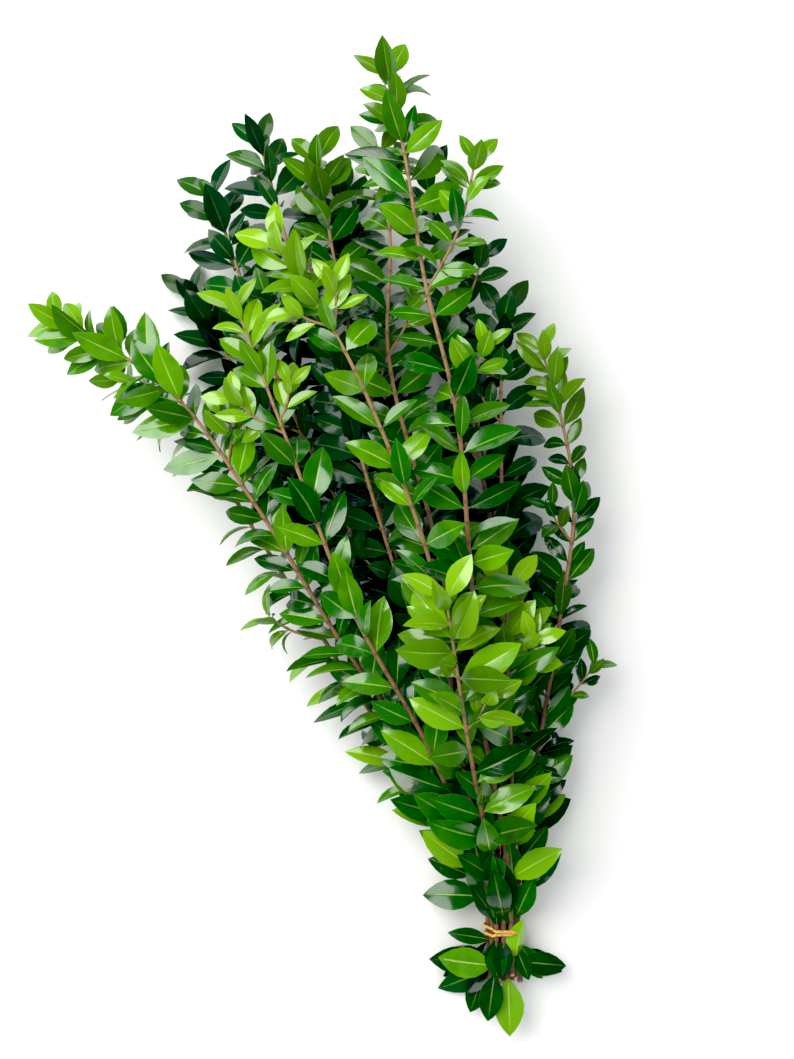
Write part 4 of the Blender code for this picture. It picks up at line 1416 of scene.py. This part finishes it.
def barkStations(limb):
    # places, radii, ages and closeness to a joint along one stem or shoot
    line, length = limb["fine"], limb["fineLength"]
    half = barkShape["nodeLength"]
    joints = [length * (1 - fromTip / limb["length"]) for fromTip in pairPlaces(limb)]
    extra = [joint + offset for joint in joints for offset in (-half, 0, half)]
    stations = np.array(sorted(set(lengthsAlong(line) + [s for s in extra if 0 < s < length])))
    stations = stations[np.insert(np.diff(stations) > barkShape["closest"], 0, True)]
    solidAt = np.array(lengthsAlong(limb["line"])) / limb["length"] * length
    radii = np.interp(stations, solidAt, limb["radii"]) * barkShape["roundShare"]
    closeness = np.zeros(len(stations))
    for joint in joints:
        closeness = np.maximum(closeness, np.clip(1 - np.abs(stations - joint) / half, 0, 1))
    chance = random.Random("bark " + limb["key"])
    wander = np.array([chance.uniform(-1, 1) for _ in stations]) * barkShape["wander"]
    radii = radii * (1 + barkShape["nodeSwell"] * closeness + wander)
    age = np.clip(stations / length, 0, 1)
    if limb["isShoot"]:
        rootAge, rise = barkShape["shootAge"]
        age = rootAge + rise * stations / length
    return np.array([placeOn(line, s)[0] + shift for s in stations]), radii, age, closeness


def cutEnd(wood, name, place, ahead, radius):
    # in edit mode: insets the cut face, leaves it chosen and slants it
    work = bmesh.from_edit_mesh(wood.data)
    direction = (place - ahead).normalized()
    for face in work.faces:
        isCap = face.normal.dot(direction) > barkShape["capFacing"]
        face.select_set(isCap and (face.calc_center_median() - place).length < barkShape["capWithin"])
    bmesh.update_edit_mesh(wood.data)
    bpy.ops.mesh.inset(thickness=barkShape["capInset"], depth=barkShape["capDepth"])
    slant = random.Random("cut " + name).uniform(*barkShape["cutSlants"])
    work = bmesh.from_edit_mesh(wood.data)
    for vert in work.verts:
        fromCut = vert.co - place
        if fromCut.length < radius * barkShape["cutWithin"]:
            vert.co -= direction * ((fromCut.z + radius) * slant)
    bmesh.update_edit_mesh(wood.data)


def woodPiece(name, limbs, finish, cutWood):
    bpy.ops.object.select_all(action="DESELECT")
    bpy.ops.curve.primitive_bezier_curve_add()
    curve = bpy.context.object
    curve.data.splines.clear()
    curve.data.bevel_depth = mm
    curve.data.bevel_resolution = barkShape["sideLevel"]
    curve.data.use_fill_caps = True
    curve.data.twist_mode = "MINIMUM"
    runs = [barkStations(limb) for limb in limbs]
    for places, radii, _, _ in runs:
        spline = curve.data.splines.new("POLY")
        spline.points.add(len(places) - 1)
        for point, place, radius in zip(spline.points, places, radii):
            point.co = (*place, 1)
            point.radius = radius / mm
    bpy.ops.object.convert(target="MESH")
    wood = bpy.context.object
    wood.name = wood.data.name = "wood_" + name
    editAll()
    bpy.ops.mesh.remove_doubles(threshold=barkShape["weld"])
    bpy.ops.mesh.normals_make_consistent(inside=False)
    bpy.ops.mesh.select_mode(type="FACE")
    start, ahead = (Vector(place) for place in runs[0][0][:2])
    cutEnd(wood, name, start, ahead, limbs[0]["radii"][0])
    wood.data.materials.append(finish)
    wood.data.materials.append(cutWood)
    wood.active_material_index = 1
    bpy.ops.object.material_slot_assign()
    bpy.ops.object.mode_set(mode="OBJECT")
    bpy.ops.object.shade_smooth_by_angle(angle=leafShape["sharpFrom"])

    places, _, ages, joints = (np.concatenate(column) for column in zip(*runs))
    nearest = [np.argmin(((places - point) ** 2).sum(axis=1)) for point in pointsOf(wood.data)]
    for label, values in (("barkAge", ages), ("barkJoint", joints)):
        added = wood.data.attributes.new(label, "FLOAT", "POINT")
        added.data.foreach_set("value", values[nearest].astype(np.float32))
    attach(wood, "root")
    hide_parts("leafy_stem_" + name)
    return wood


def rubberFinish():
    finish, shader, place = newFinish("tanRubber")
    dust = noise(place, *band["dust"])
    cloud = times(noise(place, *band["cloud"]), band["cloudShare"])
    shade = fade(plus(cloud, times(dust, band["dustShare"])), *band["shadeEdge"])
    setInput(shader, "Base Color", mix(shade, band["shadeColour"], band["colour"]))
    setInput(shader, "Roughness", band["roughness"])
    setInput(shader, "Subsurface Weight", band["glow"])
    setInput(shader, "Subsurface Radius", band["glowReach"])
    setBump(shader, dust, *band["dustBump"])
    return finish


def bandPiece():
    # a ring whose turns are laid on the band's doubled path
    bpy.ops.object.select_all(action="DESELECT")
    sectionRadius = 0.25
    bpy.ops.mesh.primitive_torus_add(major_segments=band["rings"], minor_segments=band["sectionPoints"],
                                     major_radius=1, minor_radius=sectionRadius)
    piece = bpy.context.object
    piece.name = piece.data.name = "tied_band"
    path = bandPath(band["fineSteps"])
    places, outwards = zip(*path, path[0])
    at = lengthsAlong(places)
    flat = pointsOf(piece.data)
    along = np.arctan2(flat[:, 1], flat[:, 0]) % math.tau / math.tau * at[-1]
    place, outward = (np.stack([np.interp(along, at, column) for column in zip(*run)], axis=1)
                      for run in (places, outwards))
    outward /= np.linalg.norm(outward, axis=1)[:, None]
    section = np.stack([np.hypot(flat[:, 0], flat[:, 1]) - 1, flat[:, 2]]) / sectionRadius
    proud, wide = np.sign(section) * np.abs(section) ** band["squareness"]
    points = place + outward * (proud * band["thickness"] / 2)[:, None]
    points[:, 1] += wide * band["width"] / 2
    points[:, 2] += tieHeight
    piece.data.vertices.foreach_set("co", (points + np.array(shift)).ravel())
    editAll()
    bpy.ops.mesh.normals_make_consistent(inside=False)
    bpy.ops.object.mode_set(mode="OBJECT")
    bpy.ops.object.shade_smooth()
    piece.data.materials.append(rubberFinish())
    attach(piece, "root")
    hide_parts("rubber_band")
    return piece


twigBark, cutWood = barkFinish(), cutFinish()
for name, limbs in branches.items():
    woodPiece(name, limbs, twigBark, cutWood)
print("stems and shoots are modelled")

leafPattern = modelLeaf()
finishes = {tone: leafFinish(tone) for tone in ("fresh", "green", "deep")}
for name, found in leaves.items():
    leavesPiece(name, found, leafPattern, finishes[stems[name]["tone"]])
bpy.data.objects.remove(leafPattern)
print("leaves are laid on")

bandPiece()
print("band is tied")
